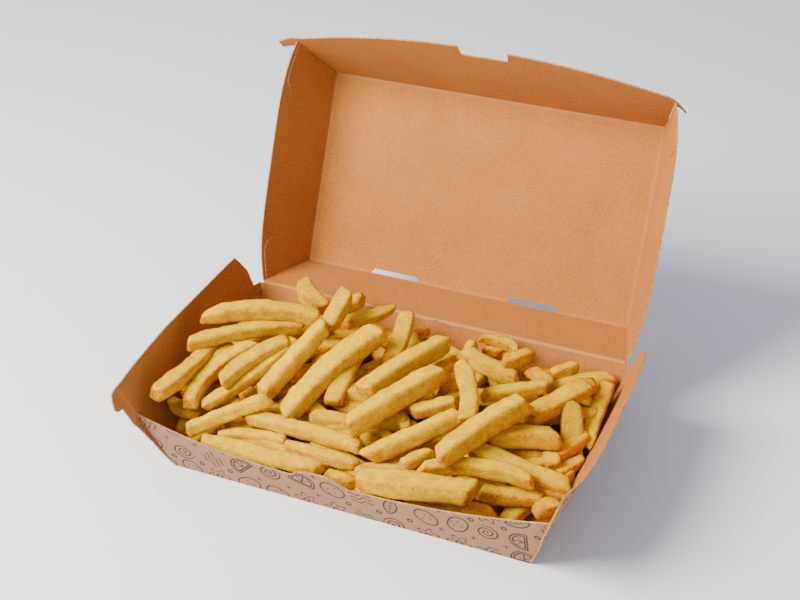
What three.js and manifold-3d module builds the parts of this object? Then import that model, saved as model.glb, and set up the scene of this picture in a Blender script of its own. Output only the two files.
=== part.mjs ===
// A takeaway portion of french fries in a hinged carton whose lid stands open.
// Millimetres, +Z up. The origin is the centre of the base's underside, +X runs to the right along
// the front wall and +Y to the back. The carton is one folded sheet of thin fluted board: a base
// tray, a lid tray, and a crease between them along the top of the back wall, about which the lid
// swings. The fries are one heap: a mound with fries of true size lying on it, fused together.

import * as THREE from 'three';
import { mergeVertices } from 'three/addons/utils/BufferGeometryUtils.js';
import Module from 'manifold-3d';

const wasm = await Module();
wasm.setup();

// ---- Driving sizes of the carton, all to the outside of the board ----

const BOARD = 1.25;
const RIM_HEIGHT = 37.7;
const BASE_WIDTH = 184;
const BASE_DEPTH = 104.8;
const BASE_RIM_WIDTH = 207;
const BASE_RIM_DEPTH = 129.8;

const LID_HEIGHT = 38.05;
const LID_WIDTH = 185.7;
const LID_DEPTH = 107;
const LID_RIM_WIDTH = 203.9;
const LID_BACK_FLARE = 10.6;
const LID_FRONT_FLARE = 13.8;
const LID_OPEN_ANGLE = 113.7;

const CREASE_GAP = 0.5; // bare strip on each side of the lid's crease
const WALL_LAP = 0.3; // how far a wall's end stops short of the next wall's outer face
const GUSSET_LAP = 0.3; // how deep a folded-in gusset sits in the wall that it is glued to

// The base's end walls stand far above the rim, and bulge outward between their corners. The right
// one leans out up to its top. The left one bulges most at the rim and straightens above it.
const RIGHT_END_BOW = 6.3;
const RIGHT_END_BOW_AT = 58;
const LEFT_END_BOW = 4.5;
const LEFT_END_BOW_SPAN = 66;
const LID_END_BOW = 3.6; // at the lid's rim
const LID_FLAP_BOW = 4.2; // at the tip of the lid's front flap
const LID_FLAP_REACH = 57;

const WALL_STEP = 11; // longest facet along a bowed wall
const THIN = 0.05; // least height left where a wall tapers out at its end

const HALF_RIM_DEPTH = BASE_RIM_DEPTH / 2;

// ---- Profiles: heights along a wall, given by a few corner points joined by straight edges ----

function profile(points) {
  return (u) => {
    const last = points.length - 1;
    if (u <= points[0][0]) return points[0][1];
    for (let i = 0; i < last; i += 1) {
      const [u0, v0] = points[i];
      const [u1, v1] = points[i + 1];
      if (u <= u1) return v0 + ((v1 - v0) * (u - u0)) / (u1 - u0);
    }
    return points[last][1];
  };
}

// Stations along a wall: its corner points, with longer stretches split into steps of at most `step`.
function stations(corners, step) {
  const list = [corners[0]];
  for (let i = 1; i < corners.length; i += 1) {
    const from = corners[i - 1];
    const to = corners[i];
    const parts = Math.max(1, Math.ceil((to - from) / step));
    for (let k = 1; k <= parts; k += 1) {
      list.push(from + ((to - from) * k) / parts);
    }
  }
  return list;
}

// ---- Closed meshes ----

function closedGeometry(positions, triangles) {
  const geometry = new THREE.BufferGeometry();
  geometry.setAttribute('position', new THREE.Float32BufferAttribute(positions, 3));
  geometry.setIndex(triangles);
  return geometry;
}

// A sheet of board: a grid of columns along u, each running from low(u) to high(u), with its outer
// face at w = near and its inner face at w = far. place(u, v, w) gives the point in space.
function boardSheet(place, columns, low, high, rows, near, far) {
  const positions = [];
  const triangles = [];
  const layerSize = columns.length * (rows + 1);
  for (const w of [near, far]) {
    for (const u of columns) {
      for (let j = 0; j <= rows; j += 1) {
        const v = low(u) + ((high(u) - low(u)) * j) / rows;
        positions.push(...place(u, v, w).toArray());
      }
    }
  }
  const at = (layer, i, j) => layer * layerSize + i * (rows + 1) + j;
  const quad = (a, b, c, d) => triangles.push(a, b, c, a, c, d);
  const lastColumn = columns.length - 1;
  for (let i = 0; i < lastColumn; i += 1) {
    for (let j = 0; j < rows; j += 1) {
      quad(at(0, i, j), at(0, i + 1, j), at(0, i + 1, j + 1), at(0, i, j + 1));
      quad(at(1, i, j + 1), at(1, i + 1, j + 1), at(1, i + 1, j), at(1, i, j));
    }
    quad(at(1, i, 0), at(1, i + 1, 0), at(0, i + 1, 0), at(0, i, 0));
    quad(at(0, i, rows), at(0, i + 1, rows), at(1, i + 1, rows), at(1, i, rows));
  }
  for (let j = 0; j < rows; j += 1) {
    quad(at(0, 0, j), at(0, 0, j + 1), at(1, 0, j + 1), at(1, 0, j));
    quad(at(0, lastColumn, j + 1), at(0, lastColumn, j), at(1, lastColumn, j), at(1, lastColumn, j + 1));
  }
  return closedGeometry(positions, triangles);
}

// A small flat piece of board with an outline of its own, bent to the wall it lies on by place.
function boardPatch(place, outline, near, far) {
  const shape = new THREE.Shape(outline.map(([u, v]) => new THREE.Vector2(u, v)));
  const geometry = new THREE.ExtrudeGeometry(shape, { depth: far - near, bevelEnabled: false });
  const points = geometry.getAttribute('position');
  for (let i = 0; i < points.count; i += 1) {
    const p = place(points.getX(i), points.getY(i), near + points.getZ(i));
    points.setXYZ(i, p.x, p.y, p.z);
  }
  return geometry;
}

// ---- Joining solids ----

function toSolid(geometry) {
  const bare = geometry.clone();
  bare.deleteAttribute('normal');
  bare.deleteAttribute('uv');
  const merged = mergeVertices(bare, 1e-4);
  const vertProperties = new Float32Array(merged.getAttribute('position').array);
  const triVerts = new Uint32Array(merged.getIndex().array);
  let solid = new wasm.Manifold(new wasm.Mesh({ numProp: 3, vertProperties, triVerts }));
  if (solid.volume() < 0) {
    for (let i = 0; i < triVerts.length; i += 3) {
      [triVerts[i + 1], triVerts[i + 2]] = [triVerts[i + 2], triVerts[i + 1]];
    }
    solid = new wasm.Manifold(new wasm.Mesh({ numProp: 3, vertProperties, triVerts }));
  }
  return solid;
}

function fuse(geometries) {
  return geometries.map(toSolid).reduce((whole, piece) => whole.add(piece));
}

// The largest closed skin of a solid: sealed pockets are filled by leaving their skins out.
function largestSkin(solid) {
  return solid.decompose().reduce((best, piece) => (piece.volume() > best.volume() ? piece : best));
}

function toGeometry(solid) {
  const { vertProperties, triVerts } = solid.getMesh();
  return closedGeometry(Array.from(vertProperties), Array.from(triVerts));
}

// ---- Walls of a flared tray ----

// The plane of one wall, as a place function. The wall's fold line runs through `fold` along `along`,
// the wall climbs towards `rise`, and w is the depth into the board, towards `inside`.
function wallPlane(fold, along, rise, inside) {
  const up = rise.clone().normalize();
  const inward = new THREE.Vector3().crossVectors(along, up).normalize();
  if (inward.dot(inside) < 0) inward.negate();
  return (u, v, w, outward = 0) =>
    fold.clone().addScaledVector(along, u).addScaledVector(up, v).addScaledVector(inward, w - outward);
}

// How much of a bow a wall has at u, from 0 at its corners to 1 halfway between them.
function bowShape(u, middle, half) {
  const t = Math.min(1, Math.abs(u - middle) / half);
  return 1 - t ** 4;
}

// ---- The base tray ----

const X = new THREE.Vector3(1, 0, 0);
const Y = new THREE.Vector3(0, 1, 0);
const END_FLARE = (BASE_RIM_WIDTH - BASE_WIDTH) / 2;
const LONG_FLARE = (BASE_RIM_DEPTH - BASE_DEPTH) / 2;
const END_SLOPE_LENGTH = Math.hypot(RIM_HEIGHT, END_FLARE);
const LONG_SLOPE_LENGTH = Math.hypot(RIM_HEIGHT, LONG_FLARE);

function baseLongWall(side) {
  const fold = new THREE.Vector3(0, (side * BASE_DEPTH) / 2, 0);
  const rise = new THREE.Vector3(0, side * LONG_FLARE, RIM_HEIGHT);
  return wallPlane(fold, X, rise, new THREE.Vector3(0, -side, 0));
}

function endWallBow(side, v) {
  if (side > 0) return (RIGHT_END_BOW * v) / RIGHT_END_BOW_AT;
  return LEFT_END_BOW * Math.sin((Math.PI * Math.max(0, v)) / LEFT_END_BOW_SPAN);
}

function baseEndWall(side) {
  const fold = new THREE.Vector3((side * BASE_WIDTH) / 2, 0, 0);
  const rise = new THREE.Vector3(side * END_FLARE, 0, RIM_HEIGHT);
  const flat = wallPlane(fold, Y, rise, new THREE.Vector3(-side, 0, 0));
  return (u, v, w) => {
    return flat(u, v, w, endWallBow(side, v) * bowShape(u, 0, HALF_RIM_DEPTH));
  };
}

// Height at which the slanted corner line passes a point u of a long wall.
function cornerLine(u, halfWidth, flare, slopeLength) {
  return Math.max(0, ((Math.abs(u) + WALL_LAP - halfWidth) * slopeLength) / flare);
}

// The front wall is scooped out between its corners, so that the fries can be reached.
const SCOOP_LOW = 20.2;
const SCOOP_RISE = 18;
const SCOOP_POWER = { left: 2.8, right: 2 };
const FRONT_HALF_WIDTH = 102.6;
const LOCK_TAB = [
  [-24.6, 15], [-24.6, 20.4], [-21.2, 23.7], [-15.5, 26], [-6.5, 26.6], [-1, 24.6], [6, 19.8], [6, 15],
];

function baseFrontWall() {
  const place = baseLongWall(-1);
  const corner = BASE_WIDTH / 2 - WALL_LAP;
  const columns = stations([-FRONT_HALF_WIDTH, -corner, corner, FRONT_HALF_WIDTH], WALL_STEP);
  const low = (u) => cornerLine(u, BASE_WIDTH / 2, END_FLARE, LONG_SLOPE_LENGTH);
  const high = (u) => {
    const power = u < 0 ? SCOOP_POWER.left : SCOOP_POWER.right;
    return SCOOP_LOW + SCOOP_RISE * Math.abs(u / FRONT_HALF_WIDTH) ** power;
  };
  return [
    boardSheet(place, columns, low, high, 1, 0, BOARD),
    boardPatch(place, LOCK_TAB, 0, BOARD),
  ];
}

function baseBackWall() {
  const place = baseLongWall(1);
  const top = LONG_SLOPE_LENGTH - CREASE_GAP;
  const topHalf = BASE_RIM_WIDTH / 2 - 2 * WALL_LAP;
  const corner = BASE_WIDTH / 2 - WALL_LAP;
  const columns = [-topHalf, -corner, corner, topHalf];
  const low = (u) => Math.min(top - THIN, cornerLine(u, BASE_WIDTH / 2, END_FLARE, LONG_SLOPE_LENGTH));
  return [boardSheet(place, columns, low, () => top, 1, 0, BOARD)];
}

// An end wall's outline, from its front ear to its back ear: the lower and the upper edge.
const END_LOW = profile([
  [-76.3, 47.2], [-74.5, 45.4], [-71.1, 45], [-68.3, 35], [-60.1, 19.2], [-52.4, 0], [52.4, 0], [64.7, 38.7],
]);
const END_HIGH = profile([
  [-76.3, 47.6], [-75.6, 52], [-74.4, 55], [-71, 56], [-20.6, 60], [44, 61.2], [50.7, 61.1], [53.5, 57.5],
  [58.1, 49.8], [59.4, 39.6], [64.7, 39],
]);
const END_CORNERS = [
  -76.3, -75.6, -74.5, -71.1, -68.3, -60.1, -52.4, -20.6, 0, 20.6, 44, 50.7, 53.5, 58.1, 59.4, 64.7,
];

function endWallColumns() {
  return stations(END_CORNERS, WALL_STEP);
}

// Gussets: the webs that join the walls at each corner, folded flat against the end wall's inside.
const BASE_GUSSET_TOP = 36;
const BASE_GUSSET_WIDTH = 10.5;
const BASE_GUSSET_FLAT = 7.35; // length of its top edge
const BASE_GUSSET_SHOULDER = 4; // height of the slanted edge at the end of its top
const BASE_GUSSET_FOOT = { inset: 1, height: 0.8, half: 0.3 };
const BASE_GUSSET_CLEAR = 0.4; // gap between its edge and the long wall's outer face

function baseGussetOutline(longSide, margin) {
  const foot = BASE_DEPTH / 2 - BASE_GUSSET_FOOT.inset;
  const low = BASE_GUSSET_FOOT.height - margin;
  const half = BASE_GUSSET_FOOT.half + margin;
  const top = BASE_DEPTH / 2 + (LONG_FLARE * BASE_GUSSET_TOP) / LONG_SLOPE_LENGTH - BASE_GUSSET_CLEAR;
  return [
    [foot + half, low],
    [top + margin, BASE_GUSSET_TOP + margin],
    [top - BASE_GUSSET_FLAT - margin, BASE_GUSSET_TOP + GUSSET_LAP + margin],
    [top - BASE_GUSSET_WIDTH - margin, BASE_GUSSET_TOP - BASE_GUSSET_SHOULDER],
    [foot - half, low],
  ].map(([u, v]) => [longSide * u, v]);
}

function baseGusset(endSide, longSide) {
  const outline = baseGussetOutline(longSide, 0);
  return boardPatch(baseEndWall(endSide), outline, BOARD - GUSSET_LAP, 2 * BOARD - GUSSET_LAP);
}

function basePanel() {
  const flat = (u, v, w) => new THREE.Vector3(u, v, w);
  const halfDepth = BASE_DEPTH / 2;
  return boardSheet(flat, [-BASE_WIDTH / 2, BASE_WIDTH / 2], () => -halfDepth, () => halfDepth, 1, 0, BOARD);
}

function cartonBase() {
  const pieces = [basePanel(), ...baseFrontWall(), ...baseBackWall()];
  for (const end of [-1, 1]) {
    pieces.push(boardSheet(baseEndWall(end), endWallColumns(), END_LOW, END_HIGH, 2, 0, BOARD));
    pieces.push(baseGusset(end, -1), baseGusset(end, 1));
  }
  return largestSkin(fuse(pieces));
}

// ---- The lid tray, in its closed place relative to the crease: z = 0 is the rim, panel on top ----

const LID_PANEL_BACK = -LID_BACK_FLARE;
const LID_PANEL_FRONT = LID_PANEL_BACK - LID_DEPTH;
const LID_RIM_FRONT = LID_PANEL_FRONT - LID_FRONT_FLARE;
const LID_END_FLARE = (LID_RIM_WIDTH - LID_WIDTH) / 2;
const LID_BACK_SLOPE_LENGTH = Math.hypot(LID_HEIGHT, LID_BACK_FLARE);
const LID_FRONT_SLOPE_LENGTH = Math.hypot(LID_HEIGHT, LID_FRONT_FLARE);
const LID_END_SLOPE_LENGTH = Math.hypot(LID_HEIGHT, LID_END_FLARE);
const LID_RIM_MIDDLE = LID_RIM_FRONT / 2;
const LID_RIM_HALF = -LID_RIM_FRONT / 2;

function lidBackPlane() {
  const fold = new THREE.Vector3(0, LID_PANEL_BACK, LID_HEIGHT);
  return wallPlane(fold, X, new THREE.Vector3(0, LID_BACK_FLARE, -LID_HEIGHT), new THREE.Vector3(0, -1, 0));
}

function lidFlapPlane() {
  const fold = new THREE.Vector3(0, LID_PANEL_FRONT, LID_HEIGHT);
  const rise = new THREE.Vector3(0, -LID_FRONT_FLARE, -LID_HEIGHT);
  const flat = wallPlane(fold, X, rise, new THREE.Vector3(0, 1, 0));
  return (u, v, w) => {
    const half = LID_RIM_WIDTH / 2;
    const bow = LID_FLAP_BOW * (v / LID_FLAP_REACH) ** 1.5 * Math.max(0, 1 - (u / half) ** 2);
    return flat(u, v, w, bow);
  };
}

function lidEndPlane(side) {
  const fold = new THREE.Vector3((side * LID_WIDTH) / 2, 0, LID_HEIGHT);
  const rise = new THREE.Vector3(side * LID_END_FLARE, 0, -LID_HEIGHT);
  const flat = wallPlane(fold, Y, rise, new THREE.Vector3(-side, 0, 0));
  return (u, v, w) => {
    const bow = LID_END_BOW * (v / LID_END_SLOPE_LENGTH) * bowShape(u, LID_RIM_MIDDLE, LID_RIM_HALF);
    return flat(u, v, w, bow);
  };
}

// The front flap reaches past the rim in an arch, with a notch that takes the lock tab.
const FLAP_CORNER = 39.4;
const FLAP_EDGE = 43.5;
const FLAP_EDGE_HALF = 98.6;
const FLAP_HALF = 101.2;
const FLAP_POWER = 2.4;
const FLAP_NOTCH = [[-8, 70], [-8, 48.6], [17.4, 49], [18.4, 57], [18.4, 70]];
const CUT_REACH = 4; // how far a cutting shape stands out of the board on either side

function flapEdge(u) {
  const across = Math.abs(u);
  if (across > FLAP_EDGE_HALF) {
    const t = (across - FLAP_EDGE_HALF) / (FLAP_HALF - FLAP_EDGE_HALF);
    return FLAP_EDGE + (FLAP_CORNER - FLAP_EDGE) * t;
  }
  return LID_FLAP_REACH - (LID_FLAP_REACH - FLAP_EDGE) * (across / FLAP_EDGE_HALF) ** FLAP_POWER;
}

function lidFlap() {
  const place = lidFlapPlane();
  const corner = LID_WIDTH / 2 - WALL_LAP;
  const corners = [-FLAP_HALF, -FLAP_EDGE_HALF, -corner, corner, FLAP_EDGE_HALF, FLAP_HALF];
  const columns = stations(corners, WALL_STEP);
  const low = (u) => cornerLine(u, LID_WIDTH / 2, LID_END_FLARE, LID_FRONT_SLOPE_LENGTH);
  const flap = toSolid(boardSheet(place, columns, low, flapEdge, 3, 0, BOARD));
  return flap.subtract(toSolid(boardPatch(place, FLAP_NOTCH, -CUT_REACH, BOARD + CUT_REACH)));
}

function lidBackWall() {
  const place = lidBackPlane();
  const end = LID_BACK_SLOPE_LENGTH - CREASE_GAP;
  const half = LID_RIM_WIDTH / 2 - 2 * WALL_LAP;
  const corner = LID_WIDTH / 2 - WALL_LAP;
  const cornerLow = (u) => cornerLine(u, LID_WIDTH / 2, LID_END_FLARE, LID_BACK_SLOPE_LENGTH);
  const low = (u) => Math.min(end - THIN, cornerLow(u));
  return boardSheet(place, [-half, -corner, corner, half], low, () => end, 1, 0, BOARD);
}

// An end wall of the lid runs from the crease to the front flap, with a slightly bellied edge.
const LID_END_EDGE_LIFT = 0.5; // how far the edge stays above the rim at its corners
const LID_END_EDGE_BELLY = 1;
const LID_END_FRONT_GAP = 0.5; // how far an end wall stops short of the flap's rim and of the crease
const LID_END_BACK_GAP = 0.6;

function lidEndWall(side) {
  const place = lidEndPlane(side);
  const corners = [LID_RIM_FRONT + LID_END_FRONT_GAP, LID_PANEL_FRONT, LID_PANEL_BACK, -LID_END_BACK_GAP];
  const columns = stations(corners, WALL_STEP);
  const low = (u) => {
    if (u < LID_PANEL_FRONT) return ((LID_PANEL_FRONT - u) * LID_END_SLOPE_LENGTH) / LID_FRONT_FLARE;
    if (u > LID_PANEL_BACK) return ((u - LID_PANEL_BACK) * LID_END_SLOPE_LENGTH) / LID_BACK_FLARE;
    return 0;
  };
  const rim = LID_END_SLOPE_LENGTH - LID_END_EDGE_LIFT;
  const high = (u) => {
    const edge = rim + LID_END_EDGE_BELLY * bowShape(u, LID_RIM_MIDDLE, LID_RIM_HALF);
    return Math.max(edge, low(u) + THIN);
  };
  return boardSheet(place, columns, low, high, 2, 0, BOARD);
}

// The lid's gussets: a web at each corner, with a round lobe at its tip.
const LID_GUSSET_STEM = [[0.6, 1], [7, 17], [10, 22.5]];
const LID_LOBE = { u: 6.2, v: 30, radius: 7.4, from: -35, to: 85, step: 20 };
const LID_GUSSET_TOP = 36.6;
const LID_GUSSET_CLEAR = 0.5; // gap between its edge and the slanted corner

function lidGussetOutline(atFront) {
  const fold = atFront ? LID_PANEL_FRONT : LID_PANEL_BACK;
  const inward = atFront ? 1 : -1;
  const flare = atFront ? LID_FRONT_FLARE : LID_BACK_FLARE;
  const rim = -inward * ((flare * LID_GUSSET_TOP) / LID_END_SLOPE_LENGTH - LID_GUSSET_CLEAR);
  const outline = LID_GUSSET_STEM.map(([u, v]) => [inward * u, v]);
  for (let degrees = LID_LOBE.from; degrees <= LID_LOBE.to; degrees += LID_LOBE.step) {
    const turn = THREE.MathUtils.degToRad(degrees);
    outline.push([
      inward * (LID_LOBE.u + LID_LOBE.radius * Math.cos(turn)),
      LID_LOBE.v + LID_LOBE.radius * Math.sin(turn),
    ]);
  }
  outline.push([rim, LID_GUSSET_TOP]);
  return outline.map(([u, v]) => [fold + u, v]);
}

function lidGusset(side, atFront) {
  const outline = lidGussetOutline(atFront);
  return boardPatch(lidEndPlane(side), outline, BOARD - GUSSET_LAP, 2 * BOARD - GUSSET_LAP);
}

function lidPanel() {
  const flat = (u, v, w) => new THREE.Vector3(u, v, LID_HEIGHT - w);
  const half = LID_WIDTH / 2;
  return boardSheet(flat, [-half, half], () => LID_PANEL_FRONT, () => LID_PANEL_BACK, 1, 0, BOARD);
}

// Two slots along the fold at the back of the lid's panel.
const SLOT_OFFSET = 39.8;
const SLOT_LENGTH = 30;
const SLOT_END_LENGTH = 25;
const SLOT_WIDTH = 3.8;

function lidSlot(side) {
  const flat = (u, v, w) => new THREE.Vector3(u, v, w);
  const back = LID_PANEL_BACK - BOARD;
  const outline = [
    [side * SLOT_OFFSET - SLOT_LENGTH / 2, back],
    [side * SLOT_OFFSET - SLOT_END_LENGTH / 2, back - SLOT_WIDTH],
    [side * SLOT_OFFSET + SLOT_END_LENGTH / 2, back - SLOT_WIDTH],
    [side * SLOT_OFFSET + SLOT_LENGTH / 2, back],
  ];
  return boardPatch(flat, outline, LID_HEIGHT - 2 * BOARD, LID_HEIGHT + BOARD);
}

function cartonLid() {
  const pieces = [lidPanel(), lidBackWall()];
  for (const side of [-1, 1]) {
    pieces.push(lidEndWall(side), lidGusset(side, true), lidGusset(side, false));
  }
  let lid = fuse(pieces).add(lidFlap());
  for (const side of [-1, 1]) {
    lid = lid.subtract(toSolid(lidSlot(side)));
  }
  return largestSkin(lid);
}

// ---- The fries ----

// A fixed sequence of numbers from 0 to 1, the same on every run.
function sequence(seed) {
  let state = seed;
  return () => {
    state = (Math.imul(state, 1664525) + 1013904223) >>> 0;
    return state / 4294967296;
  };
}

function draw({ least, range }, next) {
  return least + range * next();
}

// The fries that lie on top, lowest first: the middle of each end, the thickness, how far the middle
// of the stick bends to its left, and how far it arches upward.
const TOP_FRIES = [
  // small pieces and sticks that lie deep, most of them half hidden
  { from: [-98, -40, 26], to: [-81, -38, 24], thick: 8, bend: -1, arch: 0 },
  { from: [-96, -32, 28], to: [-86, 6, 36], thick: 9, bend: 2, arch: 0 },
  { from: [-47, 52, 45], to: [-39, 61, 45], thick: 7.6, bend: 0, arch: 0 },
  { from: [-7, 43, 38], to: [-1, 54, 36], thick: 6.4, bend: 0, arch: 0 },
  { from: [-50, -22, 24], to: [-38, -15, 24], thick: 6.6, bend: 0, arch: 0 },
  { from: [31, 51, 34], to: [40, 57, 34], thick: 7, bend: 0, arch: 0 },
  { from: [-18, 10, 34], to: [-5, 29, 36], thick: 8, bend: 0, arch: 0 },
  { from: [-19, -8, 26], to: [-3, 3, 30], thick: 7.4, bend: 0, arch: 0 },
  { from: [6, -17, 26], to: [16, -7, 30], thick: 7.6, bend: 0, arch: 0 },
  { from: [17, -32, 20], to: [34, -20, 24], thick: 7.2, bend: 0, arch: 0 },
  { from: [16, 12, 31], to: [31, 23, 32], thick: 7.4, bend: 0, arch: 0 },
  { from: [14, 24, 34], to: [23, 39, 34], thick: 8, bend: 0, arch: 0 },
  { from: [5, -43, 20], to: [26, -34, 22], thick: 6.8, bend: 0, arch: 0 },
  { from: [34, -49, 13], to: [70, -40, 13], thick: 7, bend: 0, arch: 0 },
  { from: [-14, -48, 16], to: [7, -50, 15], thick: 8.4, bend: 0, arch: 1 },
  { from: [50, -33, 16], to: [89, -25, 17], thick: 8, bend: 1, arch: 0 },
  { from: [86, 6, 22], to: [84, -6, 21], thick: 8, bend: 0, arch: 0 },
  // left side
  { from: [-101, -54, 42], to: [-85, -4, 42], thick: 9.6, bend: 1, arch: 1 },
  { from: [-87, -43, 30], to: [-68, -1, 45], thick: 9.6, bend: 3, arch: 1 },
  { from: [-82, -37, 28], to: [-58, 11, 42], thick: 7.6, bend: -3, arch: 0 },
  { from: [-77, -28, 38], to: [-58, 7, 44], thick: 9.8, bend: 1, arch: 0 },
  { from: [-73, 52, 54], to: [-50, 42, 46], thick: 10.2, bend: -3, arch: 0 },
  { from: [-41, 33, 44], to: [-19, 58, 48], thick: 8.2, bend: -3, arch: 0 },
  { from: [-24, -15, 32], to: [-23, 22, 42], thick: 10, bend: 1, arch: 0 },
  { from: [-7, 14, 42], to: [-11, 49, 50], thick: 9.4, bend: -1, arch: 1 },
  { from: [-30, -21, 28], to: [-12, -22, 26], thick: 7.4, bend: 0, arch: 0 },
  // right side
  { from: [66, 44, 34], to: [79, 57, 36], thick: 6.8, bend: 0, arch: 0 },
  { from: [28, 54, 40], to: [52, 52, 38], thick: 7.6, bend: 1, arch: 2 },
  { from: [19, 33, 42], to: [57, 33, 36], thick: 8, bend: 0, arch: 0 },
  { from: [56, 46, 36], to: [74, 38, 34], thick: 7.2, bend: 0, arch: 0 },
  { from: [45, 31, 42], to: [59, 51, 42], thick: 9, bend: 0, arch: 0 },
  { from: [94, 26, 22], to: [97, 50, 34], thick: 8.4, bend: 0, arch: 0 },
  { from: [84, 30, 33], to: [96, -2, 24], thick: 10, bend: 0, arch: 1 },
  { from: [42, 14, 36], to: [71, 31, 38], thick: 8.4, bend: 0, arch: 0 },
  { from: [15, -11, 36], to: [36, 6, 38], thick: 7.4, bend: 0, arch: 0 },
  { from: [54, -5, 30], to: [88, 2, 30], thick: 11, bend: 0, arch: 1 },
  { from: [64, -3, 36], to: [91, 39, 42], thick: 10.6, bend: 1, arch: 0 },
  { from: [-71, -46, 20], to: [-36, -41, 20], thick: 6.8, bend: 0, arch: 0 },
  // the sticks that show whole
  { from: [-100, -20, 49], to: [-50, 15, 49], thick: 10, bend: 2, arch: 2 },
  { from: [-101, -9, 59], to: [-44, 22, 54], thick: 10, bend: 1, arch: 4 },
  { from: [-64, -24, 32], to: [-40, 20, 54], thick: 10.8, bend: 0, arch: 0 },
  { from: [-42, 10, 56], to: [-38, 42, 60], thick: 8.6, bend: 0, arch: 1 },
  { from: [-46, -24, 32], to: [-13, 27, 54], thick: 12.4, bend: 1, arch: 1 },
  { from: [-82, -54, 23], to: [-49, -30, 37], thick: 8.8, bend: 1, arch: 1 },
  { from: [-37, -44, 21], to: [4, -41, 22], thick: 7.8, bend: 0, arch: 0 },
  { from: [-59, -36, 27], to: [4, -39, 28], thick: 9.6, bend: 0, arch: 1 },
  { from: [-76, -52, 20], to: [-12, -51, 20], thick: 8.2, bend: 0, arch: 0 },
  { from: [52, -19, 30], to: [98, -19, 20], thick: 9, bend: 0, arch: 1 },
  { from: [87, -41, 17], to: [96, -28, 17], thick: 8.2, bend: 0, arch: 0 },
  { from: [28, -43, 25], to: [80, -28, 26], thick: 8.4, bend: 2, arch: 0 },
  { from: [6, -44, 27], to: [40, -9, 42], thick: 9, bend: 0, arch: 0 },
  { from: [-8, -15, 42], to: [18, 34, 46], thick: 10.8, bend: 1, arch: 1 },
  { from: [-7, -37, 36], to: [25, 12, 46], thick: 11, bend: 1, arch: 1 },
  { from: [32, 18, 48], to: [49, -19, 44], thick: 9.6, bend: 3, arch: 1 },
  { from: [41, -43, 36], to: [71, 3, 48], thick: 11, bend: 1, arch: 1 },
  { from: [8, -55, 24], to: [63, -44, 25], thick: 11.4, bend: 0, arch: 0 },
];

// The section of a fry: a square with its corners cut off, as a share of half its thickness.
const CORNER_CUT = 0.52;
const FRY_SECTION = [
  [1, CORNER_CUT], [CORNER_CUT, 1], [-CORNER_CUT, 1], [-1, CORNER_CUT],
  [-1, -CORNER_CUT], [-CORNER_CUT, -1], [CORNER_CUT, -1], [1, -CORNER_CUT],
];
const FRY_END_ROUND = 2.2; // length of the rounded end
const FRY_END_SHARE = 0.7; // thickness of the very end, as a share of the whole
const FRY_UPRIGHT = 0.94; // height of the section as a share of its width
const BEND_RING = 0.36; // where a bent fry has its inner rings, as a share of its length
const FRY_TAPER = 0.22; // most that an end is thinner than the middle
const FRY_ROLL = 0.5; // range in radians of the turn about its own length

function fryGeometry({ from, to, thick, bend, arch }, next) {
  const start = new THREE.Vector3(...from);
  const end = new THREE.Vector3(...to);
  const along = end.clone().sub(start);
  const length = along.length();
  along.normalize();
  const side = new THREE.Vector3(-along.y, along.x, 0).normalize();
  const up = new THREE.Vector3().crossVectors(along, side);
  const roll = (next() - 0.5) * FRY_ROLL;
  const startTaper = 1 - FRY_TAPER * next();
  const endTaper = 1 - FRY_TAPER * next();
  const across = side.clone().multiplyScalar(Math.cos(roll)).addScaledVector(up, Math.sin(roll));
  const over = up.clone().multiplyScalar(Math.cos(roll)).addScaledVector(side, -Math.sin(roll));
  const round = FRY_END_ROUND / length;
  const middle = bend || arch ? [[BEND_RING, 1], [1 - BEND_RING, 1]] : [];
  const rings = [
    [0, FRY_END_SHARE * startTaper], [round, startTaper], ...middle,
    [1 - round, endTaper], [1, FRY_END_SHARE * endTaper],
  ];
  const positions = [];
  for (const [t, share] of rings) {
    const sag = 1 - (2 * t - 1) ** 2;
    const half = (thick / 2) * share;
    const centre = start.clone().lerp(end, t);
    centre.addScaledVector(side, bend * sag).addScaledVector(up, arch * sag);
    for (const [a, b] of FRY_SECTION) {
      const point = centre.clone().addScaledVector(across, a * half);
      point.addScaledVector(over, b * half * FRY_UPRIGHT);
      positions.push(...point.toArray());
    }
  }
  return closedGeometry(positions, tubeTriangles(rings.length, FRY_SECTION.length));
}

// Triangles of a stick made of rings, with a flat cap on each end.
function tubeTriangles(ringCount, sides) {
  const triangles = [];
  for (let r = 0; r < ringCount - 1; r += 1) {
    for (let k = 0; k < sides; k += 1) {
      const a = r * sides + k;
      const b = r * sides + ((k + 1) % sides);
      triangles.push(a, b, b + sides, a, b + sides, a + sides);
    }
  }
  const last = (ringCount - 1) * sides;
  for (let k = 1; k < sides - 1; k += 1) {
    triangles.push(0, k + 1, k);
    triangles.push(last, last + k, last + k + 1);
  }
  return triangles;
}

// The mound under the top fries: it climbs to the back, with a hill on the left.
const MOUND_LOW = 11;
const MOUND_HIGH = 28;
const MOUND_SLOPE = 0.2;
const MOUND_HILLS = [
  { x: -52, y: 14, height: 18, spreadX: 46, spreadY: 34 },
  { x: 12, y: -2, height: 6, spreadX: 34, spreadY: 30 },
];
const MOUND_HALF_WIDTH = 100;
const MOUND_HALF_DEPTH = 62;
const MOUND_STEP = 12.5;
const MOUND_FLOOR = BOARD + 0.35;
const MOUND_SKIN = 1; // its thickness where it is lowest

// The mound stays out of the two front corners, where the bare floor shows between the fries. The
// result is 0 in a corner and 1 clear of it.
const HOLLOW_REACH_X = 22;
const HOLLOW_REACH_Y = 28;

function cornerHollow(x, y) {
  const acrossX = (MOUND_HALF_WIDTH - Math.abs(x)) / HOLLOW_REACH_X;
  const acrossY = (y + MOUND_HALF_DEPTH) / HOLLOW_REACH_Y;
  return Math.min(1, Math.hypot(acrossX, acrossY));
}

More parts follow.
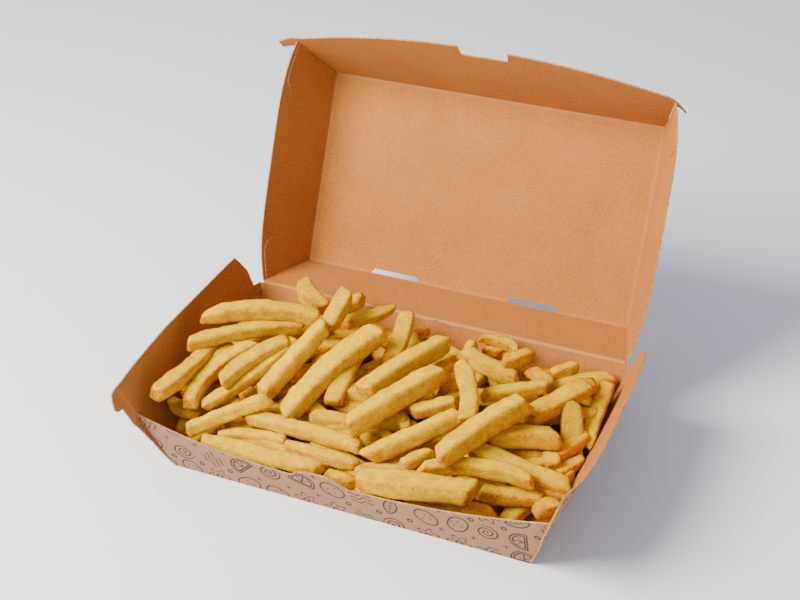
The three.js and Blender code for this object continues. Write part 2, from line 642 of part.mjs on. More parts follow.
function moundHeight(x, y) {
  let height = Math.min(MOUND_HIGH, MOUND_LOW + MOUND_SLOPE * (y + MOUND_HALF_DEPTH));
  for (const hill of MOUND_HILLS) {
    const offX = (x - hill.x) / hill.spreadX;
    const offY = (y - hill.y) / hill.spreadY;
    height += hill.height * Math.exp(-(offX ** 2) - offY ** 2);
  }
  const lowest = MOUND_FLOOR + MOUND_SKIN;
  return lowest + (height - lowest) * cornerHollow(x, y) ** 2;
}

function moundGeometry() {
  const columns = stations([-MOUND_HALF_WIDTH, MOUND_HALF_WIDTH], MOUND_STEP);
  const rows = Math.round((2 * MOUND_HALF_DEPTH) / MOUND_STEP);
  const place = (x, y, level) => new THREE.Vector3(x, y, level ? moundHeight(x, y) : MOUND_FLOOR);
  return boardSheet(place, columns, () => -MOUND_HALF_DEPTH, () => MOUND_HALF_DEPTH, rows, 0, 1);
}

// Fries that show in the gaps between the top ones. They lie on the mound, spread evenly over it.
const UNDER_COLUMNS = 6;
const UNDER_ROWS = 4;
const UNDER_SPACING_X = 29;
const UNDER_SPACING_Y = 25;
const UNDER_SCATTER = 10; // how far their middles stray from an even grid
const UNDER_HEADING = { least: -20, range: 90 }; // degrees from +X
const UNDER_HALF_LENGTH = { least: 17, range: 8 };
const UNDER_THICKNESS = { least: 8, range: 2 };
const UNDER_LIFT = 0.3; // height above the mound, as a share of the thickness

function underFries(next) {
  const fries = [];
  for (let row = 0; row < UNDER_ROWS; row += 1) {
    for (let column = 0; column < UNDER_COLUMNS; column += 1) {
      const x = (column - (UNDER_COLUMNS - 1) / 2) * UNDER_SPACING_X + (next() - 0.5) * UNDER_SCATTER;
      const y = (row - (UNDER_ROWS - 1) / 2) * UNDER_SPACING_Y + (next() - 0.5) * UNDER_SCATTER;
      const heading = THREE.MathUtils.degToRad(draw(UNDER_HEADING, next));
      const half = draw(UNDER_HALF_LENGTH, next);
      const thick = draw(UNDER_THICKNESS, next);
      const endAt = (sign) => {
        const ex = x + sign * half * Math.cos(heading);
        const ey = y + sign * half * Math.sin(heading);
        return [ex, ey, moundHeight(ex, ey) + UNDER_LIFT * thick];
      };
      if (cornerHollow(x, y) < 1) continue;
      fries.push({ from: endAt(-1), to: endAt(1), thick, bend: 0, arch: 0 });
    }
  }
  return fries;
}

// What the heap must stay clear of: the base's walls and gussets, and above the rim the walls of the
// closed lid. Each is a slab from the wall's inner face, plus a clearance, to well outside of it.
const HEAP_CLEARANCE = 0.4;
const SLAB_OUTWARD = -24;
const SLAB_MARGIN = 14; // how far a slab runs past its wall's edges
const SLAB_ACROSS = [-BASE_RIM_WIDTH / 2 - SLAB_MARGIN, BASE_RIM_WIDTH / 2 + SLAB_MARGIN];

function baseSlabs() {
  const inner = BOARD + HEAP_CLEARANCE;
  const slabs = [];
  for (const side of [-1, 1]) {
    const wall = baseLongWall(side);
    const top = () => LONG_SLOPE_LENGTH;
    slabs.push(boardSheet(wall, SLAB_ACROSS, () => -SLAB_MARGIN, top, 1, SLAB_OUTWARD, inner));
    slabs.push(boardSheet(baseEndWall(side), endWallColumns(), END_LOW, END_HIGH, 2, SLAB_OUTWARD, inner));
    for (const longSide of [-1, 1]) {
      const outline = baseGussetOutline(longSide, HEAP_CLEARANCE);
      slabs.push(boardPatch(baseEndWall(side), outline, 0, inner + BOARD - GUSSET_LAP));
    }
  }
  return slabs;
}

function closedLidSlabs() {
  const inner = BOARD + HEAP_CLEARANCE;
  const backTop = () => LID_BACK_SLOPE_LENGTH;
  const endTop = () => LID_END_SLOPE_LENGTH;
  const along = stations([LID_RIM_FRONT - SLAB_MARGIN, SLAB_MARGIN], WALL_STEP);
  const below = () => -SLAB_MARGIN;
  const slabs = [boardSheet(lidBackPlane(), SLAB_ACROSS, below, backTop, 1, SLAB_OUTWARD, inner)];
  for (const side of [-1, 1]) {
    slabs.push(boardSheet(lidEndPlane(side), along, () => 0, endTop, 3, SLAB_OUTWARD, inner));
    for (const atFront of [true, false]) {
      slabs.push(boardPatch(lidEndPlane(side), lidGussetOutline(atFront), 0, inner + BOARD - GUSSET_LAP));
    }
  }
  return slabs.map((slab) => slab.translate(0, HALF_RIM_DEPTH, RIM_HEIGHT));
}

const HEAP_SEED = 7;

function friesHeap() {
  const next = sequence(HEAP_SEED);
  const fries = [...underFries(next), ...TOP_FRIES].map((fry) => fryGeometry(fry, next));
  let heap = fuse([moundGeometry(), ...fries]);
  for (const slab of [...baseSlabs(), ...closedLidSlabs()]) {
    heap = heap.subtract(toSolid(slab));
  }
  return largestSkin(heap.trimByPlane([0, 0, 1], MOUND_FLOOR));
}

// ---- The finished part ----

function boardMaterial() {
  return new THREE.MeshStandardMaterial({ color: 0xb9814f, roughness: 0.85, metalness: 0 });
}

function friesMaterial() {
  return new THREE.MeshStandardMaterial({ color: 0xe9b63c, roughness: 0.55, metalness: 0 });
}

function namedMesh(name, solid, material) {
  const mesh = new THREE.Mesh(toGeometry(solid), material);
  mesh.name = name;
  return mesh;
}

const part = new THREE.Group();
part.add(namedMesh('carton_base', cartonBase(), boardMaterial()));
part.add(namedMesh('fries_heap', friesHeap(), friesMaterial()));

const hinge = new THREE.Group();
hinge.position.set(0, HALF_RIM_DEPTH, RIM_HEIGHT);
hinge.rotation.x = THREE.MathUtils.degToRad(-LID_OPEN_ANGLE);
hinge.add(namedMesh('carton_lid', cartonLid(), boardMaterial()));
part.add(hinge);

export default part;
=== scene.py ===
"""A takeaway portion of french fries in a hinged carton of thin fluted board, with its lid open."""

import itertools
import math
import random

import bmesh
import bpy
from mathutils import Matrix, Vector, noise


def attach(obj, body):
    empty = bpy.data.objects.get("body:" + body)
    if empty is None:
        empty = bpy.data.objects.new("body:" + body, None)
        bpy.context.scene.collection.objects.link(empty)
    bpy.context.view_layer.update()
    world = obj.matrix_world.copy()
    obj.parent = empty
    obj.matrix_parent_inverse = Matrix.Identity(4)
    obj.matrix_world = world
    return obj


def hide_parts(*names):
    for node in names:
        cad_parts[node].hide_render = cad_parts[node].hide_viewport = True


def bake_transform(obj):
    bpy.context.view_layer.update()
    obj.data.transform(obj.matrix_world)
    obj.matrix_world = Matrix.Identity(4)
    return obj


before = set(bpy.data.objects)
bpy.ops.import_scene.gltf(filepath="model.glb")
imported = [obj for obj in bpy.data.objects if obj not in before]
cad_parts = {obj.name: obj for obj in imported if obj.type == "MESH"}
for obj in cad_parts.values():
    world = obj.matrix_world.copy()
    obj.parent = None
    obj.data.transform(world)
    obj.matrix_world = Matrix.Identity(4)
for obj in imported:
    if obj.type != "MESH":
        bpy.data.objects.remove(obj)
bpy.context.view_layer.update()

MM = 0.001

# ---- Sizes of the carton in millimetres, to the outside of the board ----

BOARD = 0.8
RIM_HEIGHT = 37.7
BASE_WIDTH = 184.0
BASE_DEPTH = 104.8
BASE_RIM_WIDTH = 207.0
BASE_RIM_DEPTH = 129.8
HALF_RIM_DEPTH = BASE_RIM_DEPTH / 2
END_FLARE = (BASE_RIM_WIDTH - BASE_WIDTH) / 2
LONG_FLARE = (BASE_RIM_DEPTH - BASE_DEPTH) / 2
END_SLOPE_LENGTH = math.hypot(RIM_HEIGHT, END_FLARE)
LONG_SLOPE_LENGTH = math.hypot(RIM_HEIGHT, LONG_FLARE)

LID_HEIGHT = 38.05
LID_WIDTH = 185.7
LID_DEPTH = 107.0
LID_RIM_WIDTH = 203.9
LID_BACK_FLARE = 10.6
LID_FRONT_FLARE = 13.8
LID_OPEN_ANGLE = math.radians(113.7)
LID_PANEL_BACK = -LID_BACK_FLARE
LID_PANEL_FRONT = LID_PANEL_BACK - LID_DEPTH
LID_RIM_FRONT = LID_PANEL_FRONT - LID_FRONT_FLARE
LID_END_FLARE = (LID_RIM_WIDTH - LID_WIDTH) / 2
LID_BACK_SLOPE_LENGTH = math.hypot(LID_HEIGHT, LID_BACK_FLARE)
LID_FRONT_SLOPE_LENGTH = math.hypot(LID_HEIGHT, LID_FRONT_FLARE)
LID_END_SLOPE_LENGTH = math.hypot(LID_HEIGHT, LID_END_FLARE)

WALL_LAP = 0.3  # how far two walls overlap where they meet at a corner
CREASE_GAP = 0.5  # how far below the hinge line each tray ends, and the crease strip takes over

X = Vector((1, 0, 0))
Y = Vector((0, 1, 0))

# ---- Shader nodes ----


class Wire:
    """An output of a node. Arithmetic on it adds Math nodes."""

    def __init__(self, finish, socket):
        self.finish = finish
        self.socket = socket

    def __add__(self, other):
        return self.finish.math("ADD", self, other)

    def __radd__(self, other):
        return self.finish.math("ADD", other, self)

    def __sub__(self, other):
        return self.finish.math("SUBTRACT", self, other)

    def __rsub__(self, other):
        return self.finish.math("SUBTRACT", other, self)

    def __mul__(self, other):
        return self.finish.math("MULTIPLY", self, other)

    def __rmul__(self, other):
        return self.finish.math("MULTIPLY", other, self)

    def __truediv__(self, other):
        return self.finish.math("DIVIDE", self, other)

    def __pow__(self, power):
        return self.finish.math("POWER", self, power)

    def __lt__(self, limit):
        return self.finish.math("LESS_THAN", self, limit)

    def __gt__(self, limit):
        return self.finish.math("GREATER_THAN", self, limit)

    def __abs__(self):
        return self.finish.math("ABSOLUTE", self)

    def sine(self):
        return self.finish.math("SINE", self)

    def cosine(self):
        return self.finish.math("COSINE", self)

    def fraction(self):
        return self.finish.math("FRACT", self)

    def least(self, other):
        return self.finish.math("MINIMUM", self, other)

    def most(self, other):
        return self.finish.math("MAXIMUM", self, other)

    def clamped(self):
        return self.finish.math("ADD", self, 0.0, clamp=True)

    def step(self, start, end):
        """0 below start, 1 above end, smooth between them."""
        settings = {"interpolation_type": "SMOOTHSTEP"}
        inputs = {"Value": self, "From Min": start, "From Max": end}
        return self.finish.node("ShaderNodeMapRange", settings, inputs)


class Finish:
    """A material, with its Principled shader and the nodes that feed it."""

    def __init__(self, name, roughness, preview):
        self.material = bpy.data.materials.new(name)
        self.material.use_nodes = True
        self.material.diffuse_color = (*preview, 1)
        self.tree = self.material.node_tree
        self.shader = self.tree.nodes["Principled BSDF"]
        self.shader.inputs["Roughness"].default_value = roughness

    def node(self, kind, settings=None, inputs=None, output=0):
        """Adds a node: its settings first, then the values or links of its sockets."""
        made = self.tree.nodes.new(kind)
        for name, value in (settings or {}).items():
            if name == "stops":
                self.set_stops(made.color_ramp, value)
            else:
                setattr(made, name, value)
        for name, value in (inputs or {}).items():
            self.feed(made.inputs[name], value)
        return Wire(self, made.outputs[output])

    def math(self, operation, *values, clamp=False):
        settings = {"operation": operation, "use_clamp": clamp}
        return self.node("ShaderNodeMath", settings, dict(enumerate(values)))

    def set_stops(self, ramp, stops):
        while len(ramp.elements) < len(stops):
            ramp.elements.new(1.0)
        for element, (position, colour) in zip(ramp.elements, stops):
            element.position = position
            element.color = (*colour, 1)

    def feed(self, socket, value):
        if isinstance(value, Wire):
            self.tree.links.new(value.socket, socket)
        elif socket.type == "RGBA":
            socket.default_value = (*value, 1)
        else:
            socket.default_value = value

    def set(self, **inputs):
        """Feeds the shader's own sockets, named with underscores for spaces."""
        for name, value in inputs.items():
            self.feed(self.shader.inputs[name.replace("_", " ")], value)

    def place(self):
        return self.node("ShaderNodeTexCoord", output="Object")

    def uv(self):
        return self.node("ShaderNodeTexCoord", output="UV")

    def attribute(self, name, output="Fac"):
        return self.node("ShaderNodeAttribute", {"attribute_name": name}, output=output)

    def split(self, vector):
        parts = self.node("ShaderNodeSeparateXYZ", None, {"Vector": vector})
        outputs = parts.socket.node.outputs
        return [Wire(self, outputs[axis]) for axis in range(3)]

    def stretched(self, vector, scale):
        return self.node("ShaderNodeVectorMath", {"operation": "MULTIPLY"}, {0: vector, 1: scale})

    def noise(self, vector, scale, detail, roughness):
        inputs = {"Vector": vector, "Scale": scale, "Detail": detail, "Roughness": roughness}
        return self.node("ShaderNodeTexNoise", None, inputs, output="Fac")

    def mix(self, factor, low, high):
        settings = {"data_type": "RGBA", "clamp_factor": True}
        inputs = {"Factor": factor, 6: low, 7: high}
        return self.node("ShaderNodeMix", settings, inputs, output=2)

    def ramp(self, factor, stops):
        return self.node("ShaderNodeValToRGB", {"stops": stops}, {"Fac": factor}, output="Color")

    def bump(self, height, distance, strength):
        inputs = {"Height": height, "Distance": distance, "Strength": strength}
        return self.node("ShaderNodeBump", None, inputs, output="Normal")


# ---- Finishes of the board ----

UV_UNIT = 100.0  # millimetres of board to one unit of the UV map
FLUTE_PITCH = 1.45
FLUTE_PHASE = 2 * math.pi / FLUTE_PITCH

KRAFT_LIGHT = (0.49, 0.186, 0.040)
KRAFT_DARK = (0.34, 0.118, 0.021)
# Dark flecks of the paper; also the painted shade along a cut line.
KRAFT_FLECK_AND_CUT_SHADE = (0.21, 0.066, 0.011)
# Paler board along a fold: a painted highlight, together with rubbed fibres.
KRAFT_RUBBED_AND_HIGHLIT = (0.66, 0.33, 0.12)
PRINTED_LIGHT = (0.375, 0.216, 0.127)
PRINTED_DARK = (0.28, 0.150, 0.082)
PRINTED_FLECK = (0.155, 0.076, 0.040)
INK = (0.011, 0.008, 0.018)
CUT_LIGHT = (0.56, 0.30, 0.13)
# Painted shade for the hollows of the flute wave at the cut edge.
CUT_HOLLOW_SHADE = (0.30, 0.13, 0.05)

# How fine the paper's patterns are. The two that are stretched lie along the flutes of the sheet.
MOTTLE_SCALE = 42.0
GRAIN_SCALE = 950.0
FLUTE_PATCH_SCALE = 30.0
CUT_GRAIN_SCALE = 1100.0
FIBRE_STRETCH = (90.0, 380.0, 1.0)
SPECK_STRETCH = (190.0, 420.0, 1.0)

FLUTE_STRAY = 0.5  # how far a flute strays from straight, in millimetres
FLUTE_PATCH_STEP = (0.35, 0.75)

# How much each pattern adds to the tone and to the relief of the paper. A step is where a pattern starts
# to show and where it shows in full.
TONE_MOTTLE = 0.14
TONE_FIBRE = 0.30
TONE_GRAIN = 0.46
TONE_FLUTES = 0.05
TONE_STEP = (0.34, 0.60)
RELIEF_GRAIN = 0.60
RELIEF_FIBRE = 0.35
RELIEF_FLUTES = 0.13
SPECK_STEP = (0.63, 0.70)
FLECK_SHARE = 0.5
# Painted highlight: how much paler the board is along a fold, together with rubbed fibres.
FOLD_RUBBED_AND_HIGHLIT_SHARE = 0.30
# Painted shade: how much darker the board is along a cut line.
SCORED_SHADE_SHARE = 0.6
PAPER_BUMP = 0.00014
PAPER_BUMP_STRENGTH = 0.6
PAPER_ROUGHNESS_SPREAD = 0.14
PAPER_SPECULAR = 0.15


def paper(finish, light, dark, fleck):
    """Unbleached paper: mottled, with long fibres and darker flecks, and the flutes showing through."""
    place = finish.place()
    flat = finish.uv()
    _, v, _ = finish.split(flat)
    mottle = finish.noise(place, MOTTLE_SCALE, 4.0, 0.6)
    fibre = finish.noise(finish.stretched(flat, FIBRE_STRETCH), 1.0, 4.0, 0.7)
    grain = finish.noise(place, GRAIN_SCALE, 4.0, 0.7)
    specks = finish.noise(finish.stretched(flat, SPECK_STRETCH), 1.0, 2.0, 0.5)
    strength = finish.noise(place, FLUTE_PATCH_SCALE, 2.0, 0.5)
    across = v * UV_UNIT + FLUTE_STRAY * mottle
    flutes = 0.5 + 0.5 * (across * FLUTE_PHASE).sine() * strength.step(*FLUTE_PATCH_STEP)
    tone = TONE_MOTTLE * mottle + TONE_FIBRE * fibre + TONE_GRAIN * grain + TONE_FLUTES * flutes
    colour = finish.mix(tone.step(*TONE_STEP), dark, light)
    colour = finish.mix(FLECK_SHARE * specks.step(*SPECK_STEP), colour, fleck)
    relief = RELIEF_GRAIN * grain + RELIEF_FIBRE * fibre + RELIEF_FLUTES * flutes
    return colour, grain, relief


def set_paper(finish, colour, smoothest, grain, relief):
    finish.set(Base_Color=colour, Roughness=smoothest + PAPER_ROUGHNESS_SPREAD * grain)
    finish.set(Normal=finish.bump(relief, PAPER_BUMP, PAPER_BUMP_STRENGTH))
    finish.set(Specular_IOR_Level=PAPER_SPECULAR)


def kraft_inside():
    """The plain side of the board: paler along a fold, a painted highlight of the fold together with
    rubbed fibres, and darker along a scored line, painted shade in the closed cut.
    """
    finish = Finish("board_inside", 0.84, KRAFT_LIGHT)
    colour, grain, relief = paper(finish, KRAFT_LIGHT, KRAFT_DARK, KRAFT_FLECK_AND_CUT_SHADE)
    # Painted highlight along the folds, together with rubbed fibres.
    colour = finish.mix(FOLD_RUBBED_AND_HIGHLIT_SHARE * finish.attribute("crease"), colour, KRAFT_RUBBED_AND_HIGHLIT)
    # Painted shade in the closed cut along each scored line.
    colour = finish.mix(SCORED_SHADE_SHARE * finish.attribute("scored"), colour, KRAFT_FLECK_AND_CUT_SHADE)
    set_paper(finish, colour, 0.76, grain, relief)
    return finish


# The print on the outside: one drawn motif to a cell, each turned and shifted at random, with small
# crosses and rings between them. Distances are in millimetres.

PRINT_CELL = 15.5
PRINT_LINE = 0.42  # half the width of a line
PRINT_THIN_LINE = 0.22
PRINT_SOFT = 0.13
PRINT_STRAY = 2.6  # how far a motif may stray from the middle of its cell, to both sides together

POTATO_RADIUS = 5.4
POTATO_BULGE = 0.8
POTATO_EYES = ((1.7, 1.3), (-2.0, 0.5), (0.4, -2.3), (-0.6, 3.1))
POTATO_EYE_RADIUS = 0.5

# A half slice: the radius of its rind, its flesh and its ribs, and how far below the middle each is cut.
SLICE_RIND = (6.4, 1.8)
SLICE_FLESH = (5.0, 0.7)
SLICE_RIBS = (4.6, 0.2)

FLOWER_RADIUS = 4.6
FLOWER_PETALS = 6
FLOWER_PETAL_REACH = 1.3
FLOWER_HEART = 1.5

STEAM_SWING = 0.9
STEAM_TURN = 1.05  # radians of a ripple to a millimetre
STEAM_GAP = 3
STEAM_HALF = 5.4

SPIRAL_PITCH = 2.3
SPIRAL_RADIUS = 5.8

LEAF_ARC_RADIUS = 7.6
LEAF_ARC_OFFSET = 4.4
LEAF_VEIN_PITCH = 2.6
LEAF_VEIN_SLANT = 0.9
LEAF_RIM = 0.9

CROSS_HALF_WIDTH = 0.28
CROSS_REACH = 1.5
RING_RADIUS = 1.1


def drawn(distance, half=PRINT_LINE):
    """1 on a line at distance 0, fading to 0 beside it."""
    return 1 - abs(distance).step(half - PRINT_SOFT, half + PRINT_SOFT)


def inside_of(distance):
    return 1 - distance.step(-PRINT_SOFT, PRINT_SOFT)


def length(x, y):
    return (x * x + y * y) ** 0.5


def potato(x, y, r, angle):
    outline = drawn(r - POTATO_RADIUS - POTATO_BULGE * (2 * angle + 1).sine())
    for eye_x, eye_y in POTATO_EYES:
        outline = outline.most(inside_of(length(x - eye_x, y - eye_y) - POTATO_EYE_RADIUS))
    return outline


def half_slice(x, y, r, angle):
    parts = (SLICE_RIND, SLICE_FLESH, SLICE_RIBS)
    rind, flesh, ribs = ((r - radius).most(-cut - y) for radius, cut in parts)
    lines = drawn(x)
    for slant in (0.7 * x - 0.7 * y, 0.7 * x + 0.7 * y):
        lines = lines.most(drawn(slant, PRINT_THIN_LINE))
    return drawn(rind).most(drawn(flesh)).most(lines * inside_of(ribs))


def flower(x, y, r, angle):
    petals = r - FLOWER_RADIUS - FLOWER_PETAL_REACH * (FLOWER_PETALS * angle).cosine()
    return drawn(petals).most(drawn(r - FLOWER_HEART))


def steam(x, y, r, angle):
    height = y - STEAM_SWING * (STEAM_TURN * x).sine()
    lines = drawn(height).most(drawn(height - STEAM_GAP)).most(drawn(height + STEAM_GAP))
    return lines * inside_of(abs(x) - STEAM_HALF)


def spiral(x, y, r, angle):
    turns = r / SPIRAL_PITCH - angle / (2 * math.pi)
    return drawn(SPIRAL_PITCH * (turns.fraction() - 0.5)) * inside_of(r - SPIRAL_RADIUS)


def leaf(x, y, r, angle):
    rim = length(x, y - LEAF_ARC_OFFSET).most(length(x, y + LEAF_ARC_OFFSET)) - LEAF_ARC_RADIUS
    along = (abs(y) * LEAF_VEIN_SLANT - x) / LEAF_VEIN_PITCH
    side_veins = drawn(LEAF_VEIN_PITCH * (along.fraction() - 0.5), 0.2)
    veins = drawn(y, 0.24).most(side_veins)
    return drawn(rim).most(veins * inside_of(rim + LEAF_RIM))


MOTIFS = (potato, half_slice, flower, steam, spiral, leaf)


def print_cells(finish, shift):
    """The place inside a cell in millimetres from its middle, and three random numbers for the cell."""
    shifted = {0: finish.uv(), 1: (shift, shift, 0)}
    flat = finish.node("ShaderNodeVectorMath", {"operation": "ADD"}, shifted)
    cells = finish.stretched(flat, (UV_UNIT / PRINT_CELL, UV_UNIT / PRINT_CELL, 0))
    corner = finish.node("ShaderNodeVectorMath", {"operation": "FLOOR"}, {0: cells})
    inner = finish.node("ShaderNodeVectorMath", {"operation": "FRACTION"}, {0: cells})
    flat_noise = {"noise_dimensions": "2D"}
    chance = finish.node("ShaderNodeTexWhiteNoise", flat_noise, {"Vector": corner}, output="Color")
    x, y, _ = finish.split(inner)
    return (x - 0.5) * PRINT_CELL, (y - 0.5) * PRINT_CELL, finish.split(chance)


def print_mask(finish):
    """1 where the outside is inked, 0 on bare paper."""
    x, y, (lift, turn, kind) = print_cells(finish, 0)
    x = x + PRINT_STRAY * (kind - 0.5)
    y = y + PRINT_STRAY * (lift - 0.5)
    angle = 2 * math.pi * turn
    cosine = angle.cosine()
    sine = angle.sine()
    turned_x = x * cosine - y * sine
    turned_y = x * sine + y * cosine
    r = length(turned_x, turned_y)
    polar = finish.math("ARCTAN2", turned_y, turned_x)
    ink = None
    for number, motif in enumerate(MOTIFS):
        low = number / len(MOTIFS)
        chosen = (kind > low) * (kind < low + 1 / len(MOTIFS))
        part = chosen * motif(turned_x, turned_y, r, polar)
        ink = part if ink is None else ink + part
    gap_x, gap_y, (form, _, _) = print_cells(finish, PRINT_CELL / 2 / UV_UNIT)
    cross = inside_of(abs(gap_x).least(abs(gap_y)) - CROSS_HALF_WIDTH)
    cross = cross * inside_of(abs(gap_x).most(abs(gap_y)) - CROSS_REACH)
    ring = drawn(length(gap_x, gap_y) - RING_RADIUS)
    return (ink + (form < 0.5) * cross + (form > 0.5) * ring).clamped()


def kraft_outside():
    finish = Finish("board_outside", 0.82, PRINTED_LIGHT)
    colour, grain, relief = paper(finish, PRINTED_LIGHT, PRINTED_DARK, PRINTED_FLECK)
    ink = print_mask(finish)
    colour = finish.mix(ink * (0.97 - 0.25 * grain), colour, INK)
    set_paper(finish, colour, 0.74, grain, relief)
    return finish


def edge_finish():
    """The cut edge of the board, with dark specks as painted shade in the hollows of its wave."""
    finish = Finish("board_edge", 0.85, (0.6, 0.3, 0.14))
    grain = finish.noise(finish.place(), CUT_GRAIN_SCALE, 3.0, 0.6)
    colour = finish.mix(grain.step(0.35, 0.7), CUT_HOLLOW_SHADE, CUT_LIGHT)
    finish.set(Base_Color=colour, Normal=finish.bump(grain, 0.0001, 0.5))
    return finish


INSIDE = kraft_inside()
OUTSIDE = kraft_outside()
EDGE = edge_finish()

# ---- Sheets of board ----

BOARD_STEP = 2.5  # mesh spacing along a wall
FOLD_REACH = 1.2  # how far from a fold the paper is painted paler, a painted highlight of the fold with rubbed fibres
SCORE_HALF = 0.22  # half the width of a line pressed or cut into the board
SCORE_DEPTH = 0.30
SCORE_FOUND = 0.02  # a point this close to a scored line lies on it
CUT_EDGE_ROUND = 0.16
CUT_EDGE_ANGLE = math.radians(50)
MERGE = 1e-4
UV_STEP = Vector((0.37, 0.73))  # how far each sheet's pattern is shifted from the last one's


def profile(points):
    """Height along a wall, from a few corner points joined by straight edges."""

    def height(u):
        if u <= points[0][0]:
            return points[0][1]
        for (u0, v0), (u1, v1) in zip(points, points[1:]):
            if u <= u1:
                return v0 + (v1 - v0) * (u - u0) / (u1 - u0)
        return points[-1][1]

    return height


def stations(corners, step=BOARD_STEP):
    """Places along a wall: its corner points, and even steps between them."""
    places = [corners[0]]
    for start, end in zip(corners, corners[1:]):
        parts = max(1, math.ceil((end - start) / step))
        places += [start + (end - start) * part / parts for part in range(1, parts + 1)]
    return places


def wall_plane(fold, along, rise, inside):
    """The plane of a wall: a function from u, v and outward to a point in space."""
    up = rise.normalized()
    inward = along.cross(up).normalized()
    if inward.dot(inside) < 0:
        inward.negate()

    def place(u, v, outward=0.0):
        return fold + along * u + up * v - inward * outward

    return place


def bow_shape(u, middle, half):
    """How much of a bow a wall has at u, from 0 at its corners to 1 halfway between them."""
    return 1 - min(1.0, abs(u - middle) / half) ** 4


def blank(columns, low, high, rows):
    """A flat sheet in u and v, cut along low(u) and high(u)."""
    sheet = bmesh.new()
    bmesh.ops.create_grid(sheet, x_segments=len(columns) - 1, y_segments=rows, size=0.5)
    for vert in sheet.verts:
        u = columns[round((vert.co.x + 0.5) * (len(columns) - 1))]
        share = round((vert.co.y + 0.5) * rows) / rows
        vert.co = (u, low(u) + (high(u) - low(u)) * share, 0)
    return sheet


def small_sheet(outline, step=3.0):
    """A small flat sheet with an outline of its own, divided so that it can bend."""
    sheet = bmesh.new()
    sheet.faces.new([sheet.verts.new((u, v, 0)) for u, v in outline])
    for axis, normal in ((0, X), (1, Y)):
        least = min(point[axis] for point in outline)
        most = max(point[axis] for point in outline)
        for number in range(1, math.ceil((most - least) / step)):
            divide(sheet, sheet.faces[:], normal * (least + number * step), normal)
    return sheet


def divide(sheet, faces, point, normal):
    """Divides some faces of a sheet along a line."""
    edges = {edge for face in faces for edge in face.edges}
    verts = {vert for face in faces for vert in face.verts}
    parts = faces + list(edges) + list(verts)
    bmesh.ops.bisect_plane(sheet, geom=parts, dist=MERGE, plane_co=point, plane_no=normal)


def faces_near(sheet, centre, reach):
    return [face for face in sheet.faces if (face.calc_center_median() - centre).length < reach]


def cut_window(sheet, outline):
    """Cuts a convex hole out of a flat sheet."""
    centre = sum((Vector((u, v, 0)) for u, v in outline), Vector()) / len(outline)
    reach = max((Vector((u, v, 0)) - centre).length for u, v in outline) + 2 * BOARD_STEP
    for (u0, v0), (u1, v1) in zip(outline, outline[1:] + outline[:1]):
        normal = Vector((v1 - v0, u0 - u1, 0)).normalized()
        divide(sheet, faces_near(sheet, centre, reach), Vector((u0, v0, 0)), normal)
    inside = [face for face in sheet.faces if within(face.calc_center_median(), outline, centre)]
    bmesh.ops.delete(sheet, geom=inside, context="FACES")


def within(point, outline, centre):
    """Whether a point lies inside a convex outline, as its centre does."""
    for (u0, v0), (u1, v1) in zip(outline, outline[1:] + outline[:1]):
        normal = Vector((v1 - v0, u0 - u1, 0))
        side = normal.dot(point - Vector((u0, v0, 0)))
        if side * normal.dot(centre - Vector((u0, v0, 0))) < 0:
            return False
    return True


def score(sheet, line):
    """Divides a flat sheet along a narrow line and at its ends, so that the line can be pressed in."""
    start, end = (Vector((*point, 0)) for point in line)
    along = (end - start).normalized()
    side = Vector((-along.y, along.x, 0))
    centre = (start + end) / 2
    reach = (end - start).length / 2 + 2 * BOARD_STEP
    cuts = [(start + side * offset, side) for offset in (-SCORE_HALF, 0, SCORE_HALF)]
    cuts += [(start, along), (end, along)]
    for point, normal in cuts:
        divide(sheet, faces_near(sheet, centre, reach), point, normal)


def pressed(u, v, lines):
    """Whether a point lies on one of the scored lines."""
    for line in lines:
        start, end = (Vector(point) for point in line)
        along = end - start
        share = (Vector((u, v)) - start).dot(along) / along.length_squared
        if 0 < share < 1 and (start + along * share - Vector((u, v))).length < SCORE_FOUND:
            return True
    return False


class Tray:
    """A folded tray, gathered wall by wall into one mesh of the board's outer face."""

    def __init__(self, name):
        self.name = name
        self.shell = bmesh.new()
        self.count = 0

    def add(self, sheet, place, folds=(), turned=False, lines=()):
        """Bends a flat sheet into its place, and notes how near each point is to a fold or a score.

        place turns u, v and outward into a point in space, and folds give the distance to each fold.
        """
        for line in lines:
            score(sheet, line)
        flat_map = sheet.loops.layers.uv.new("UVMap")
        crease = sheet.verts.layers.float.new("crease")
        scored = sheet.verts.layers.float.new("scored")
        self.count += 1
        shift = UV_STEP * self.count
        for face in sheet.faces:
            for loop in face.loops:
                u, v = loop.vert.co.xy
                loop[flat_map].uv = Vector((v, u) if turned else (u, v)) / UV_UNIT + shift
        u, v = sheet.verts[:][0].co.xy
        outward = place(u, v, 1.0) - place(u, v, 0.0)
        for vert in sheet.verts:
            u, v = vert.co.xy
            near = min([abs(fold(u, v)) for fold in folds], default=FOLD_REACH)
            vert[crease] = max(0.0, 1 - near / FOLD_REACH)
            vert[scored] = float(pressed(u, v, lines))
            vert.co = place(u, v, SCORE_DEPTH * vert[scored]) * MM
        sheet.normal_update()
        if sum((face.normal for face in sheet.faces), Vector()).dot(outward) < 0:
            bmesh.ops.reverse_faces(sheet, faces=sheet.faces[:])
        join_into(self.shell, sheet)

    def finished(self):
        """The tray as an object, with the board's thickness and slightly rounded cut edges."""
        tray = new_piece(self.name, self.shell, (OUTSIDE, INSIDE, EDGE))
        thicken(tray, BOARD)
        return tray


def join_into(whole, part):
    """Adds a bmesh to another one, and frees it."""
    mesh = bpy.data.meshes.new("part")
    part.to_mesh(mesh)
    part.free()
    whole.from_mesh(mesh)
    bpy.data.meshes.remove(mesh)


